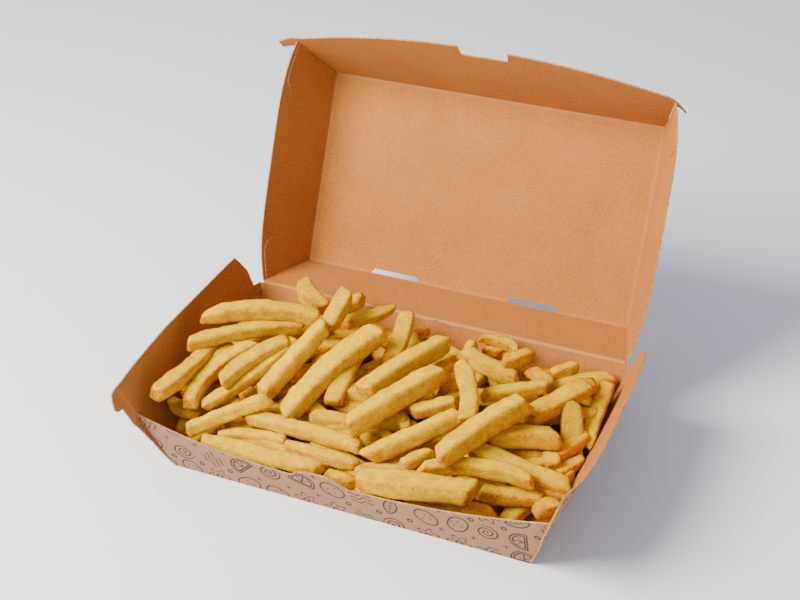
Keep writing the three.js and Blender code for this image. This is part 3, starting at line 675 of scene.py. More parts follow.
def new_piece(name, shape, finishes):
    mesh = bpy.data.meshes.new(name)
    shape.to_mesh(mesh)
    shape.free()
    mesh.shade_smooth()
    for finish in finishes:
        mesh.materials.append(finish.material)
    piece = bpy.data.objects.new(name, mesh)
    bpy.context.scene.collection.objects.link(piece)
    return piece


def thicken(tray, thickness):
    """Gives a piece's outer face the board's thickness and its paper inside and at the cut edge."""
    solid = tray.modifiers.new("board", "SOLIDIFY")
    solid.thickness = thickness * MM
    solid.offset = -1
    solid.material_offset = 1
    solid.material_offset_rim = 2
    rounded = tray.modifiers.new("cut edge", "BEVEL")
    rounded.width = CUT_EDGE_ROUND * MM
    rounded.segments = 2
    rounded.limit_method = "ANGLE"
    rounded.angle_limit = CUT_EDGE_ANGLE
    rounded.harden_normals = True


# ---- The base tray ----

RIGHT_END_BOW = 6.3  # how far the right end wall is pushed out, at this height up its slope
RIGHT_END_BOW_AT = 58.0
LEFT_END_BOW = 4.5  # how far the left end wall bulges halfway up this span of its slope
LEFT_END_BOW_SPAN = 66.0


def base_long_wall(side):
    fold = Vector((0, side * BASE_DEPTH / 2, 0))
    rise = Vector((0, side * LONG_FLARE, RIM_HEIGHT))
    return wall_plane(fold, X, rise, Vector((0, -side, 0)))


def end_wall_bow(side, v):
    if side > 0:
        return RIGHT_END_BOW * v / RIGHT_END_BOW_AT
    return LEFT_END_BOW * math.sin(math.pi * max(0.0, v) / LEFT_END_BOW_SPAN)


def base_end_wall(side):
    fold = Vector((side * BASE_WIDTH / 2, 0, 0))
    rise = Vector((side * END_FLARE, 0, RIM_HEIGHT))
    flat = wall_plane(fold, Y, rise, Vector((-side, 0, 0)))

    def place(u, v, outward=0.0):
        return flat(u, v, outward + end_wall_bow(side, v) * bow_shape(u, 0, HALF_RIM_DEPTH))

    return place


def corner_line(u, half_width, flare, slope_length):
    """Height up a long wall at which the slanted corner line passes u."""
    return max(0.0, (abs(u) + WALL_LAP - half_width) * slope_length / flare)


# The front wall's edge is scooped, with a low tab for the lid's notch in the middle.
SCOOP_LOW = 20.2
SCOOP_RISE = 18.0
SCOOP_POWER_LEFT = 2.8
SCOOP_POWER_RIGHT = 2.0
FRONT_HALF_WIDTH = 102.6
LOCK_TAB = [(-24.6, 20.4), (-21.2, 23.7), (-15.5, 26), (-6.5, 26.6), (-1, 24.6), (6, 19.8)]


def front_edge(u):
    power = SCOOP_POWER_LEFT if u < 0 else SCOOP_POWER_RIGHT
    scoop = SCOOP_LOW + SCOOP_RISE * abs(u / FRONT_HALF_WIDTH) ** power
    if LOCK_TAB[0][0] < u < LOCK_TAB[-1][0]:
        return max(scoop, profile(LOCK_TAB)(u))
    return scoop


# The lower and the upper edge of an end wall with its ear, from the front to the hinge: each point's
# place along the wall and its height up the slope.
END_LOW = profile([
    (-76.3, 47.2), (-74.5, 45.4), (-71.1, 45), (-68.3, 35), (-60.1, 19.2), (-52.4, 0),
    (52.4, 0), (64.7, 38.7),
])
END_HIGH = profile([
    (-76.3, 47.6), (-75.6, 52), (-74.4, 55), (-71, 56), (-20.6, 60), (44, 61.2),
    (50.7, 61.1), (53.5, 57.5), (58.1, 49.8), (59.4, 39.6), (64.7, 39),
])
END_CORNERS = [
    -76.3, -75.6, -74.5, -71.1, -68.3, -60.1, -52.4, -20.6, 0, 20.6, 44, 50.7, 53.5, 58.1, 59.4, 64.7,
]
GUSSET_PROUD = 0.45  # how far a gusset stands out from the end wall that it is pressed on
BASE_GUSSET_TOP = 36.0
BASE_GUSSET_TOP_RISE = 0.3
BASE_GUSSET_WIDTH = 10.5
BASE_GUSSET_FLAT = 7.35
BASE_GUSSET_SHOULDER = 4.0
BASE_GUSSET_FOOT = 0.3
BASE_GUSSET_FOOT_IN = 1.0
BASE_GUSSET_FOOT_HEIGHT = 0.8
BASE_GUSSET_EDGE_IN = 0.4
HINGE_CUT_HALF = 16.0  # the lid's crease is cut through in a wavy line over this half width
HINGE_CUT_GAP = 0.4
CREASE_LAP = 0.4
HINGE_WAVES = ((-11.8, -3.6, 1.5), (-3.2, 3.4, -0.35), (4.4, 15.2, 1.8))  # from, to, depth
HINGE_STEP = 0.8  # mesh spacing along the wavy cut
BACK_LEAST = 0.05  # least height of a back wall, past its corners
WALL_STEP = 2  # mesh spacing along the walls that have curved edges

BOTTOM_ROWS = 40
LONG_WALL_ROWS = 14
END_WALL_ROWS = 24


def first_fold(u, v):
    """Distance of a point of a wall to the fold that it starts from."""
    return v


def end_corner_fold(u, v):
    """Distance of a point of an end wall to the slanted corner that it shares with a long wall."""
    return BASE_DEPTH / 2 + LONG_FLARE * v / LONG_SLOPE_LENGTH - abs(u)


def hinge_wave(u):
    """How far the wavy cut dips below the crease at u."""
    wave = 0.0
    for start, end, depth in HINGE_WAVES:
        if start < u < end:
            wave = depth * math.sin(math.pi * (u - start) / (end - start)) ** 2
    return wave


def hinge_columns(half, corner):
    left = stations([-half, -corner, -HINGE_CUT_HALF])
    middle = stations([-HINGE_CUT_HALF, HINGE_CUT_HALF], HINGE_STEP)
    right = stations([HINGE_CUT_HALF, corner, half])
    return left[:-1] + middle + right[1:]


def base_gusset(end_side, long_side):
    """The narrow web at a corner of the base, glued to the inside of the end wall."""
    foot = BASE_DEPTH / 2 - BASE_GUSSET_FOOT_IN
    corner_at_top = BASE_DEPTH / 2 + LONG_FLARE * BASE_GUSSET_TOP / LONG_SLOPE_LENGTH
    top = corner_at_top - BASE_GUSSET_EDGE_IN
    outline = [
        (foot + BASE_GUSSET_FOOT, BASE_GUSSET_FOOT_HEIGHT),
        (top, BASE_GUSSET_TOP),
        (top - BASE_GUSSET_FLAT, BASE_GUSSET_TOP + BASE_GUSSET_TOP_RISE),
        (top - BASE_GUSSET_WIDTH, BASE_GUSSET_TOP - BASE_GUSSET_SHOULDER),
        (foot - BASE_GUSSET_FOOT, BASE_GUSSET_FOOT_HEIGHT),
    ]
    wall = base_end_wall(end_side)
    sheet = small_sheet([(long_side * u, v) for u, v in outline])
    return sheet, lambda u, v, outward: wall(u, v, outward - GUSSET_PROUD)


def base_tray():
    tray = Tray("carton_base_board")
    half_width = BASE_WIDTH / 2
    half_depth = BASE_DEPTH / 2
    corner = half_width - WALL_LAP
    top = LONG_SLOPE_LENGTH - CREASE_GAP
    top_half = BASE_RIM_WIDTH / 2 - 2 * WALL_LAP

    def low(u):
        return corner_line(u, half_width, END_FLARE, LONG_SLOPE_LENGTH)

    def low_back(u):
        return min(top - BACK_LEAST, low(u))

    def high_back(u):
        return top - (HINGE_CUT_GAP + hinge_wave(u) if abs(u) < HINGE_CUT_HALF else 0.0)

    columns = stations([-half_width, half_width])
    bottom = blank(columns, lambda u: -half_depth, lambda u: half_depth, BOTTOM_ROWS)
    folds = (lambda u, v: half_width - abs(u), lambda u, v: half_depth - abs(v))
    tray.add(bottom, lambda u, v, outward: Vector((u, v, -outward)), folds)

    tab = [u for u, _ in LOCK_TAB]
    corners = [-FRONT_HALF_WIDTH, -corner, *tab, corner, FRONT_HALF_WIDTH]
    front = blank(stations(corners, WALL_STEP), low, front_edge, LONG_WALL_ROWS)
    tray.add(front, base_long_wall(-1), (first_fold,))

    back = blank(hinge_columns(top_half, corner), low_back, high_back, LONG_WALL_ROWS)
    tray.add(back, base_long_wall(1), (first_fold,))

    for side in (-1, 1):
        end = blank(stations(END_CORNERS, WALL_STEP), END_LOW, END_HIGH, END_WALL_ROWS)
        tray.add(end, base_end_wall(side), (first_fold, end_corner_fold), turned=True)
        for long_side in (-1, 1):
            tray.add(*base_gusset(side, long_side), turned=True)
    return tray.finished()


# ---- The lid tray, in its closed place relative to the crease: z = 0 is the rim, panel on top ----

HINGE = Vector((0, HALF_RIM_DEPTH, RIM_HEIGHT))
LID_SWING = Matrix.Rotation(-LID_OPEN_ANGLE, 3, "X")

LID_END_BOW_LEFT = 5.8
LID_END_BOW_RIGHT = 5.6
LID_RIM_MIDDLE = LID_RIM_FRONT / 2
LID_RIM_HALF = -LID_RIM_FRONT / 2
LID_END_EDGE_LIFT = 0.5
LID_END_EDGE_BELLY = 1.0
LID_END_LEAST = 0.05
LID_END_FRONT_GAP = 0.5
LID_END_BACK_GAP = 0.6

# The flap is the lid's front wall, with a curved edge, a notch for the base's tab, and two ears.
LID_FLAP_BOW = 4.2
LID_FLAP_BOW_POWER = 1.5
LID_FLAP_REACH = 57.0
FLAP_EDGE = 43.5
FLAP_EDGE_HALF = 98.6
FLAP_POWER = 2.4
FLAP_NOTCH = [(-8, 70), (-8, 48.6), (17.4, 49), (18.4, 57), (18.4, 70)]

# Each ear by stations: the distance from the middle, then how far its outer and its inner edge lie
# from the panel's fold.
EAR_LEFT = ((98.6, 43.5, 33.0), (100.2, 43.7, 33.6), (103.5, 43.8, 33.6), (112.4, 39.4, 33.0))
EAR_RIGHT = ((98.6, 43.5, 34.0), (100.2, 42.0, 34.6), (102.0, 40.2, 35.0), (107.0, 33.6, 32.8))
EAR_STARTS = 100.2
EAR_CURL_LEFT = 0.010
EAR_CURL_RIGHT = 0.050
EAR_CURL_FROM = 99.5

# Two slots through the panel at its back fold, which leave the fold whole between and beside them.
SLOT_OFFSET = 39.8
SLOT_LENGTH = 30.0
SLOT_END_LENGTH = 25.0
SLOT_WIDTH = 2.2
SLOT_FOLD_LAP = 1.0
SLOT_SHOULDER = 0.3
SLOT_FRONT = 1.25

# Cuts across the folds at the lid's two ends: each starts at the fold and runs into panel and wall.
CUTS = ((-72.4, -68.8), (-53.3, -57.3))  # where a cut starts at the fold, and where its two tips are
CUT_START = 0.6
CUT_TIP_PANEL = 78.2
CUT_TIP_WALL = 15.0

LID_GUSSET_STEM = [(0.6, 1), (7, 17), (10, 22.5)]
LID_LOBE_U = 6.2
LID_LOBE_V = 30.0
LID_LOBE_RADIUS = 7.4
LID_LOBE_TURNS = range(-35, 86, 12)
LID_GUSSET_TOP = 36.6
LID_GUSSET_TOP_IN = 0.5

PANEL_ROWS = 42
LID_BACK_ROWS = 16
FLAP_ROWS = 24
LID_END_ROWS = 16


def opened(place):
    """A place of the closed lid, swung open about the crease."""
    return lambda u, v, outward=0.0: HINGE + LID_SWING @ place(u, v, outward)


def lid_back_plane():
    fold = Vector((0, LID_PANEL_BACK, LID_HEIGHT))
    return wall_plane(fold, X, Vector((0, LID_BACK_FLARE, -LID_HEIGHT)), Vector((0, -1, 0)))


def lid_flap_plane():
    fold = Vector((0, LID_PANEL_FRONT, LID_HEIGHT))
    flat = wall_plane(fold, X, Vector((0, -LID_FRONT_FLARE, -LID_HEIGHT)), Vector((0, 1, 0)))

    def place(u, v, outward=0.0):
        across = max(0.0, 1 - (u / (LID_RIM_WIDTH / 2)) ** 2)
        bow = LID_FLAP_BOW * max(0.0, v / LID_FLAP_REACH) ** LID_FLAP_BOW_POWER * across
        curl = (EAR_CURL_LEFT if u < 0 else EAR_CURL_RIGHT) * max(0.0, abs(u) - EAR_CURL_FROM) ** 2
        return flat(u, v, outward + bow - curl)

    return place


def lid_end_plane(side):
    fold = Vector((side * LID_WIDTH / 2, 0, LID_HEIGHT))
    flat = wall_plane(fold, Y, Vector((side * LID_END_FLARE, 0, -LID_HEIGHT)), Vector((-side, 0, 0)))
    bow = LID_END_BOW_RIGHT if side > 0 else LID_END_BOW_LEFT

    def place(u, v, outward=0.0):
        bulge = bow * (v / LID_END_SLOPE_LENGTH) * bow_shape(u, LID_RIM_MIDDLE, LID_RIM_HALF)
        return flat(u, v, outward + bulge)

    return place


def ear_profile(u, column):
    """An edge of the flap's ear at u: column 1 for the outer edge, 2 for the inner."""
    rows = EAR_LEFT if u < 0 else EAR_RIGHT
    return profile([(row[0], row[column]) for row in rows])(abs(u))


def flap_edge(u):
    across = abs(u)
    if across > FLAP_EDGE_HALF:
        return ear_profile(u, 1)
    return LID_FLAP_REACH - (LID_FLAP_REACH - FLAP_EDGE) * (across / FLAP_EDGE_HALF) ** FLAP_POWER


def flap_low(u):
    if abs(u) > EAR_STARTS:
        return ear_profile(u, 2)
    return corner_line(u, LID_WIDTH / 2, LID_END_FLARE, LID_FRONT_SLOPE_LENGTH)


def slot_outline(side):
    middle = side * SLOT_OFFSET
    corners = (
        (-SLOT_LENGTH / 2, SLOT_FOLD_LAP),
        (-SLOT_LENGTH / 2, -SLOT_SHOULDER),
        (-SLOT_END_LENGTH / 2, -SLOT_FRONT - SLOT_WIDTH),
        (SLOT_END_LENGTH / 2, -SLOT_FRONT - SLOT_WIDTH),
        (SLOT_LENGTH / 2, -SLOT_SHOULDER),
        (SLOT_LENGTH / 2, SLOT_FOLD_LAP),
    )
    return [(middle + u, LID_PANEL_BACK + v) for u, v in corners]


def lid_end_low(u):
    if u < LID_PANEL_FRONT:
        return (LID_PANEL_FRONT - u) * LID_END_SLOPE_LENGTH / LID_FRONT_FLARE
    if u > LID_PANEL_BACK:
        return (u - LID_PANEL_BACK) * LID_END_SLOPE_LENGTH / LID_BACK_FLARE
    return 0.0


def lid_end_high(u):
    rim = LID_END_SLOPE_LENGTH - LID_END_EDGE_LIFT
    edge = rim + LID_END_EDGE_BELLY * bow_shape(u, LID_RIM_MIDDLE, LID_RIM_HALF)
    return max(edge, lid_end_low(u) + LID_END_LEAST)


def lid_gusset(side, at_front):
    """The web at a corner of the lid, glued to the inside of the end wall, with a round lobe."""
    fold = LID_PANEL_FRONT if at_front else LID_PANEL_BACK
    inward = 1 if at_front else -1
    flare = LID_FRONT_FLARE if at_front else LID_BACK_FLARE
    outline = list(LID_GUSSET_STEM)
    for degrees in LID_LOBE_TURNS:
        turn = math.radians(degrees)
        lobe_u = LID_LOBE_U + LID_LOBE_RADIUS * math.cos(turn)
        lobe_v = LID_LOBE_V + LID_LOBE_RADIUS * math.sin(turn)
        outline.append((lobe_u, lobe_v))
    outline.append((LID_GUSSET_TOP_IN - flare * LID_GUSSET_TOP / LID_END_SLOPE_LENGTH, LID_GUSSET_TOP))
    wall = lid_end_plane(side)
    sheet = small_sheet([(fold + inward * u, v) for u, v in outline])
    return sheet, opened(lambda u, v, outward=0.0: wall(u, v, outward - GUSSET_PROUD))


def lid_tray():
    tray = Tray("carton_lid_board")
    half = LID_WIDTH / 2
    corner = half - WALL_LAP
    rim_half = LID_RIM_WIDTH / 2 - 2 * WALL_LAP
    end = LID_BACK_SLOPE_LENGTH - CREASE_GAP

    def low_back(u):
        return min(end - BACK_LEAST, corner_line(u, half, LID_END_FLARE, LID_BACK_SLOPE_LENGTH))

    columns = stations([-half, -SLOT_OFFSET, SLOT_OFFSET, half])
    panel = blank(columns, lambda u: LID_PANEL_FRONT, lambda u: LID_PANEL_BACK, PANEL_ROWS)
    lines = []
    for side in (-1, 1):
        cut_window(panel, slot_outline(side))
        for at_fold, at_tip in CUTS:
            lines.append(((side * (half - CUT_START), at_fold), (side * CUT_TIP_PANEL, at_tip)))
    folds = (
        lambda u, v: half - abs(u),
        lambda u, v: v - LID_PANEL_FRONT,
        lambda u, v: v - LID_PANEL_BACK,
    )
    flat = opened(lambda u, v, outward=0.0: Vector((u, v, LID_HEIGHT + outward)))
    tray.add(panel, flat, folds, lines=lines)

    columns = stations([-rim_half, -corner, corner, rim_half])
    back = blank(columns, low_back, lambda u: end, LID_BACK_ROWS)
    tray.add(back, opened(lid_back_plane()), (first_fold,))

    ear_left = [-row[0] for row in reversed(EAR_LEFT)]
    ear_right = [row[0] for row in EAR_RIGHT]
    columns = stations([*ear_left, -corner, corner, *ear_right], WALL_STEP)
    flap = blank(columns, flap_low, flap_edge, FLAP_ROWS)
    cut_window(flap, FLAP_NOTCH)
    tray.add(flap, opened(lid_flap_plane()), (first_fold,))

    for side in (-1, 1):
        corners = [LID_RIM_FRONT + LID_END_FRONT_GAP, LID_PANEL_FRONT, LID_PANEL_BACK, -LID_END_BACK_GAP]
        wall = blank(stations(corners), lid_end_low, lid_end_high, LID_END_ROWS)
        lines = [((at_fold, CUT_START), (at_tip, CUT_TIP_WALL)) for at_fold, at_tip in CUTS]
        tray.add(wall, opened(lid_end_plane(side)), (first_fold,), turned=True, lines=lines)
        for at_front in (True, False):
            tray.add(*lid_gusset(side, at_front), turned=True)
    return tray.finished()


# ---- The crease between the two trays ----

CREASE_ROUND = 0.6  # how far from the hinge line the board starts to turn
CREASE_PROUD = 0.05  # how far the strip stands out past both faces of the trays
CREASE_END = 0.9  # how far past the hinge line it reaches on the lid
CREASE_SHORTER = 2.5
CREASE_CORNER = 5
CREASE_ROWS = 14


def crease_path(u, travel):
    """A point of the board's outer face where it turns from the base's back wall into the lid's."""
    base = base_long_wall(1)
    lid = opened(lid_back_plane())
    if travel < -CREASE_ROUND:
        return base(u, LONG_SLOPE_LENGTH + travel, CREASE_PROUD)
    if travel > CREASE_ROUND:
        return lid(u, LID_BACK_SLOPE_LENGTH - travel, CREASE_PROUD)
    share = (travel + CREASE_ROUND) / (2 * CREASE_ROUND)
    start = base(u, LONG_SLOPE_LENGTH - CREASE_ROUND, CREASE_PROUD)
    end = lid(u, LID_BACK_SLOPE_LENGTH - CREASE_ROUND, CREASE_PROUD)
    fold = Vector((u, HINGE.y, HINGE.z))
    return start * (1 - share) ** 2 + fold * 2 * share * (1 - share) + end * share ** 2


def crease_strip():
    """The strip of board that bends: flush in both trays, and the only piece that joins them."""
    half = BASE_RIM_WIDTH / 2 - CREASE_SHORTER

    def lower(u):
        if abs(u) < HINGE_CUT_HALF:
            return -CREASE_GAP - hinge_wave(u)
        return -CREASE_GAP - CREASE_LAP

    def place(u, v, outward=0.0):
        return crease_path(u, v) + Vector((0, 0, -outward))

    strip = Tray("carton_crease")
    columns = hinge_columns(half, half - CREASE_CORNER)
    strip.add(blank(columns, lower, lambda u: CREASE_END, CREASE_ROWS), place, (first_fold,))
    piece = new_piece(strip.name, strip.shell, (OUTSIDE, INSIDE, EDGE))
    thicken(piece, BOARD + 2 * CREASE_PROUD)
    return piece


# ---- Fries ----

FRIED_TONES = [
    (0.12, (0.68, 0.450, 0.004)),
    (0.32, (0.66, 0.385, 0.0)),
    (0.50, (0.62, 0.310, 0.0)),
    (0.74, (0.53, 0.220, 0.0)),
    (1.00, (0.34, 0.098, 0.0)),
]
TOASTED = (0.42, 0.13, 0.0)
SOFT_SPOT = (0.74, 0.50, 0.0)
# Painted shade: the dark colour mixed into fries that stand for the shade of the gaps.
PAINTED_SHADE_COLOUR = (0.20, 0.055, 0.0)
FRIED_PREVIEW = (0.80, 0.46, 0.05)
FRIED_SMOOTHEST = 0.42
FRIED_BUMP = 0.00040
FRIED_SPECULAR = 0.03
FRIED_GLOW = 0.45
FRIED_GLOW_DEPTH = 0.0035
FRIED_GLOW_COLOUR = (1.0, 0.65, 0.05)
FRIED_BLOTCH_SCALE = 240.0
FRIED_SPOT_SCALE = 520.0
FRIED_FINE_SCALE = 1100.0
FRIED_FIBRE_STRETCH = (2.0, 12.0, 1.0)

# How much each thing adds to how cooked a face is, and then to how toasted it is.
COOKED_BLOTCH = 0.26
COOKED_FINE = 0.26
COOKED_FIBRE = 0.10
COOKED_EDGE = 0.30
COOKED_TINT = 0.34
COOKED_END = 0.12
COOKED_LESS = 0.04
COOKED_STEP = (0.38, 0.62)
COOKED_FIBRE_STEP = (0.34, 0.66)
TOASTED_EDGE = 0.35
TOASTED_END = 0.60
TOASTED_TINT = 0.35
TOASTED_STEP = (0.26, 0.50)
TOASTED_SHARE = 0.60
SOFT_STEP = (0.54, 0.68)
SOFT_SHARE = 0.30


def fry_finish(name, shade):
    """Fried potato: pale where the face is soft, golden along its edges, browner at its ends, and
    darkened by shade towards a painted shade colour.
    """
    finish = Finish(name, FRIED_SMOOTHEST, FRIED_PREVIEW)
    place = finish.place()
    look = finish.attribute("look", "Color")
    parts = finish.node("ShaderNodeSeparateColor", None, {"Color": look})
    outputs = parts.socket.node.outputs
    tint, edge, end = (Wire(finish, outputs[axis]) for axis in range(3))
    fibre = finish.noise(finish.stretched(finish.uv(), FRIED_FIBRE_STRETCH), 1.0, 4.0, 0.6)
    blotch = finish.noise(place, FRIED_BLOTCH_SCALE, 3.0, 0.62)
    fine = finish.noise(place, FRIED_FINE_SCALE, 3.0, 0.65)
    spots = finish.noise(place, FRIED_SPOT_SCALE, 2.0, 0.5)
    mottle = COOKED_BLOTCH * blotch.step(*COOKED_STEP) + COOKED_FINE * fine.step(*COOKED_STEP)
    mottle = mottle + COOKED_FIBRE * fibre.step(*COOKED_FIBRE_STEP)
    cooked = mottle + COOKED_EDGE * edge + COOKED_TINT * tint + COOKED_END * end - COOKED_LESS
    toasted = blotch * (TOASTED_EDGE * edge + TOASTED_END * end + TOASTED_TINT * tint)
    colour = finish.ramp(cooked, FRIED_TONES)
    colour = finish.mix(TOASTED_SHARE * toasted.step(*TOASTED_STEP), colour, TOASTED)
    colour = finish.mix(SOFT_SHARE * spots.step(*SOFT_STEP), colour, SOFT_SPOT)
    # Painted shade: a share of a dark colour mixed in.
    colour = finish.mix(shade, colour, PAINTED_SHADE_COLOUR)
    relief = 0.55 * fine + 0.5 * fibre + 0.6 * spots
    finish.set(Base_Color=colour, Roughness=FRIED_SMOOTHEST + 0.26 * fine)
    finish.set(Normal=finish.bump(relief, FRIED_BUMP, 0.7), Specular_IOR_Level=FRIED_SPECULAR)
    finish.set(Subsurface_Weight=FRIED_GLOW, Subsurface_Scale=FRIED_GLOW_DEPTH)
    finish.set(Subsurface_Radius=FRIED_GLOW_COLOUR)
    return finish


FRIED = fry_finish("fried_potato", 0.0)
# The same fried potato half darkened with painted shade, for the core in the deepest gaps.
FRIED_PAINTED_SHADE = fry_finish("fried_potato_painted_shade", 0.5)

# The fries that lie on top: both ends in millimetres, the thickness, how far the middle bends to its
# left and arches upward, and how deep its colour is, from 0 for pale to 1 for brown. The last pair,
# where there is one, is the share of the thickness that is left at the two ends.
TOP_FRIES = [
    # small pieces and sticks that lie deep, most of them half hidden
    ((-100, -38, 26), (-82, -39, 24), 7.0, -1, 0, 0.6),
    ((-96, -32, 28), (-86, 6, 36), 8.4, 2, 0, 0.6),
    ((-93, -33, 37), (-84, -2, 42), 7.6, 0, 0, 0.6),
    ((-51, 47, 41), (-38, 57, 47), 7.8, 0, 0, 0.5),
    ((-5, 48, 37), (-2, 56, 37), 6.2, 0, 0, 0.6),
    ((-50, -22, 24), (-38, -15, 24), 6.6, 0, 0, 0.1),
    ((-22, -9, 27), (-10, -5, 27), 6.0, 0, 0, 0.2),
    ((-18, 10, 34), (-5, 29, 36), 7.6, 0, 0, 0.6),
    ((-19, -8, 24), (-3, 3, 27), 7.0, 0, 0, 0.6),
    ((7, -5, 30), (17, -17, 29), 7.0, 0, 0, 0.2),
    ((24, -40, 26), (35, -28, 29), 7.0, 0, 0, 0.4),
    ((9, -45, 23), (27, -38, 23), 5.8, 0, 0, 0.3),
    ((-1, -21, 25), (15, -23, 25), 6.2, 0, 0, 0.9),
    ((23, 9, 34), (30, 17, 34), 6.8, 0, 0, 0.7),
    ((14, 24, 34), (23, 39, 34), 7.4, 0, 0, 0.7),
    ((31, 51, 36), (41, 53, 36), 6.8, 0, 0, 1.0),
    ((26, 37, 41), (28, 46, 43), 5.0, 0, 0, 0.2),
    ((5, -43, 20), (26, -34, 21), 6.4, 0, 0, 0.3),
    ((62, -6, 23), (84, -4, 22), 6.2, 0, 0, 0.9),
    ((90, -8, 18), (99, 5, 20), 6.2, 0, 0, 0.8),
    ((34, -49, 13), (70, -40, 13), 6.2, 0, 0, 0.7),
    ((-11, -50, 18), (5, -51, 17), 6.6, 0, 0, 0.5),
    ((83, -1, 23), (88, -9, 22), 8.8, 0, 0, 0.2),
    # left side
    ((-98, -54, 42), (-92, -8, 43), 8.6, -2, 0, 0.4),
    ((-85, -45, 34), (-71, -1, 45), 8.6, 6, 0, 0.3),
    ((-79, -41, 32), (-53, 6, 48), 6.8, -3, 0, 0.3),
    ((-73, -33, 42), (-55, 1, 49), 8.4, 3, 0, 0.4),
    ((-70, 51, 55), (-52, 39, 47), 10.0, -3, 0, 0.6, (0.6, 1.0)),
    ((-37, 33, 46), (-18, 53, 48), 7.2, -1, 0, 0.3, (1.0, 0.5)),
    ((-23, 15, 45), (-22, -17, 33), 10.2, 0, 0, 0.5),
    ((-9, 47, 50), (-6, 17, 41), 9.5, 1, 0, 0.3),
    ((-28, -26, 30), (-12, -22, 28), 8.0, 0, 0, 0.1),
    # right side
    ((70, 42, 36), (79, 53, 38), 6.4, 0, 0, 0.5),
    ((29, 50, 43), (51, 49, 40), 6.6, 4, 0, 0.9, (0.7, 1.0)),
    ((25, 37, 42), (57, 29, 38), 8.8, -1, 0, 0.3),
    ((60, 38, 40), (73, 33, 36), 7.2, 0, 0, 0.5),
    ((47, 33, 43), (59, 45, 44), 9.0, 0, 0, 1.0, (1.0, 0.75)),
    ((85, 29, 37), (92, 40, 38), 8.2, 0, 0, 1.0),
    ((98, 45, 36), (98, 11, 22), 8.6, -1, 0, 0.6),
    ((86, 21, 38), (93, 7, 17), 10.0, 0, 0, 0.3),
    ((46, 8, 40), (72, 27, 40), 7.2, 0, 0, 0.2),
    ((17, -11, 35), (36, 1, 38), 6.8, 0, 0, 0.2),
    ((58, -13, 33), (86, 1, 31), 10.0, 1, 0, 0.2),
    ((69, 3, 36), (91, 33, 42), 10.6, 0, 0, 0.5),
    # the sticks that show whole
    ((-69, -47, 21), (-35, -40, 22), 6.2, 2, 0, 0.3),
    ((-99.5, -18.5, 48.5), (-54, 19, 48), 8.4, 1, 2, 0.3),
    ((-98, -7, 57), (-47, 21, 53), 9.2, 4, 3, 0.4, (0.5, 1.0)),
    ((-39, 13, 56), (-57, -24, 33), 10.0, 0, 0, 0.1),
    ((-37, 35, 62), (-39, 14, 53), 9.6, 0, 0, 0.3),
    ((-12, 19, 56), (-40, -30, 30), 11.6, -3, 1, 0.3),
    ((-83, -52, 23), (-49, -30, 37), 7.6, 0, 1, 0.1),
    ((-34, -43, 22), (3, -43, 22), 6.8, 0, 0, 0.3),
    ((-57, -36, 28), (2, -36, 27), 7.9, 1, 0, 0.2, (1.0, 0.8)),
    ((-74, -54, 22), (-12, -52, 21), 7.6, 0, 0, 0.0),
    ((52, -22, 30), (98, -19, 20), 9.4, 0, 0, 0.1),
    ((88, -36, 17), (97, -28, 17), 8.4, 0, 0, 0.7),
    ((60, -34, 17), (88, -28, 17), 8.0, 0, 0, 0.6),
    ((34, -44, 30), (84, -29, 27), 8.2, 5, 1, 0.2),
    ((7, -42, 27), (41, -10, 39), 9.6, 0, 0, 0.2),
    ((-7, -14, 42), (16, 35, 46), 10.4, 0, 1, 0.2),
    ((-5, -35, 36), (24, 12, 46), 11.2, 0, 1, 0.2),
    ((32, 13, 52), (47, -18, 43), 9.4, 3, 0, 0.3, (0.65, 1.0)),
    ((43, -42, 37), (70, 1, 48), 11.0, 2, 0, 0.3),
    ((9, -57, 26), (62, -47, 27), 12.0, 0, 0, 0.4),
]

FRY_FLESH = 0.96  # what is left of its thickness once fried
FRY_SQUARE = 4.8  # how square its section is: 2 would be round
FRY_FLATTEST = 0.86  # least height of its section, as a share of its width
FRY_END_ROUND = 2.2  # how far from its end it starts to be rounded off
FRY_END_SHARE = 0.68  # share of the thickness that is left at the very end
FRY_TAPER = 0.14
FRY_TAPER_REACH = 9.0
FRY_ROLL = 0.5
FRY_TWIST = 0.12
FRY_SLANT = 0.36  # most that a cut end leans
FRY_SLANT_REACH = 1.3  # how far along a leaning end pulls, as a share of the thickness
FRY_WANDER = 0.10  # how much its thickness changes along it
FRY_WANDER_PITCH = 14
FRY_LUMP = 0.42  # how far the surface strays from true, in millimetres
FRY_LUMP_COARSE = 0.16  # waves of that to a millimetre
FRY_LUMP_FINE = 0.5
FRY_HOLLOW = 0.06  # how far a face sinks between its edges, as a share of half the thickness
FRY_HOLLOW_PITCH = 9
FRY_EDGE_POWER = 2.5  # how narrow the golden line along its edges is
FRY_END_DEEPER = 5.0  # how far from its ends its colour is deeper
FRY_SIDE_PAINTED_SHADE = 0.22  # how much deeper in colour its sides are than its top, as painted shade on the sides
FRY_COLOUR_SPREAD = 0.1
FRY_SEEDS = 50
FEWEST_RINGS = 6
RING_CROWD = 0.6  # how much closer the rings lie near the ends
CLEARANCE = BOARD + 0.35  # from the outside of the board to the nearest fry
FLOOR_CLEARANCE = BOARD + 0.4
LONG_WALL_SLANT = 1.06  # how much more level room a clearance takes at a slanted wall
END_WALL_SLANT = 1.04
HIGHEST_BOW = 62.0  # the end walls reach no higher up their slope than this


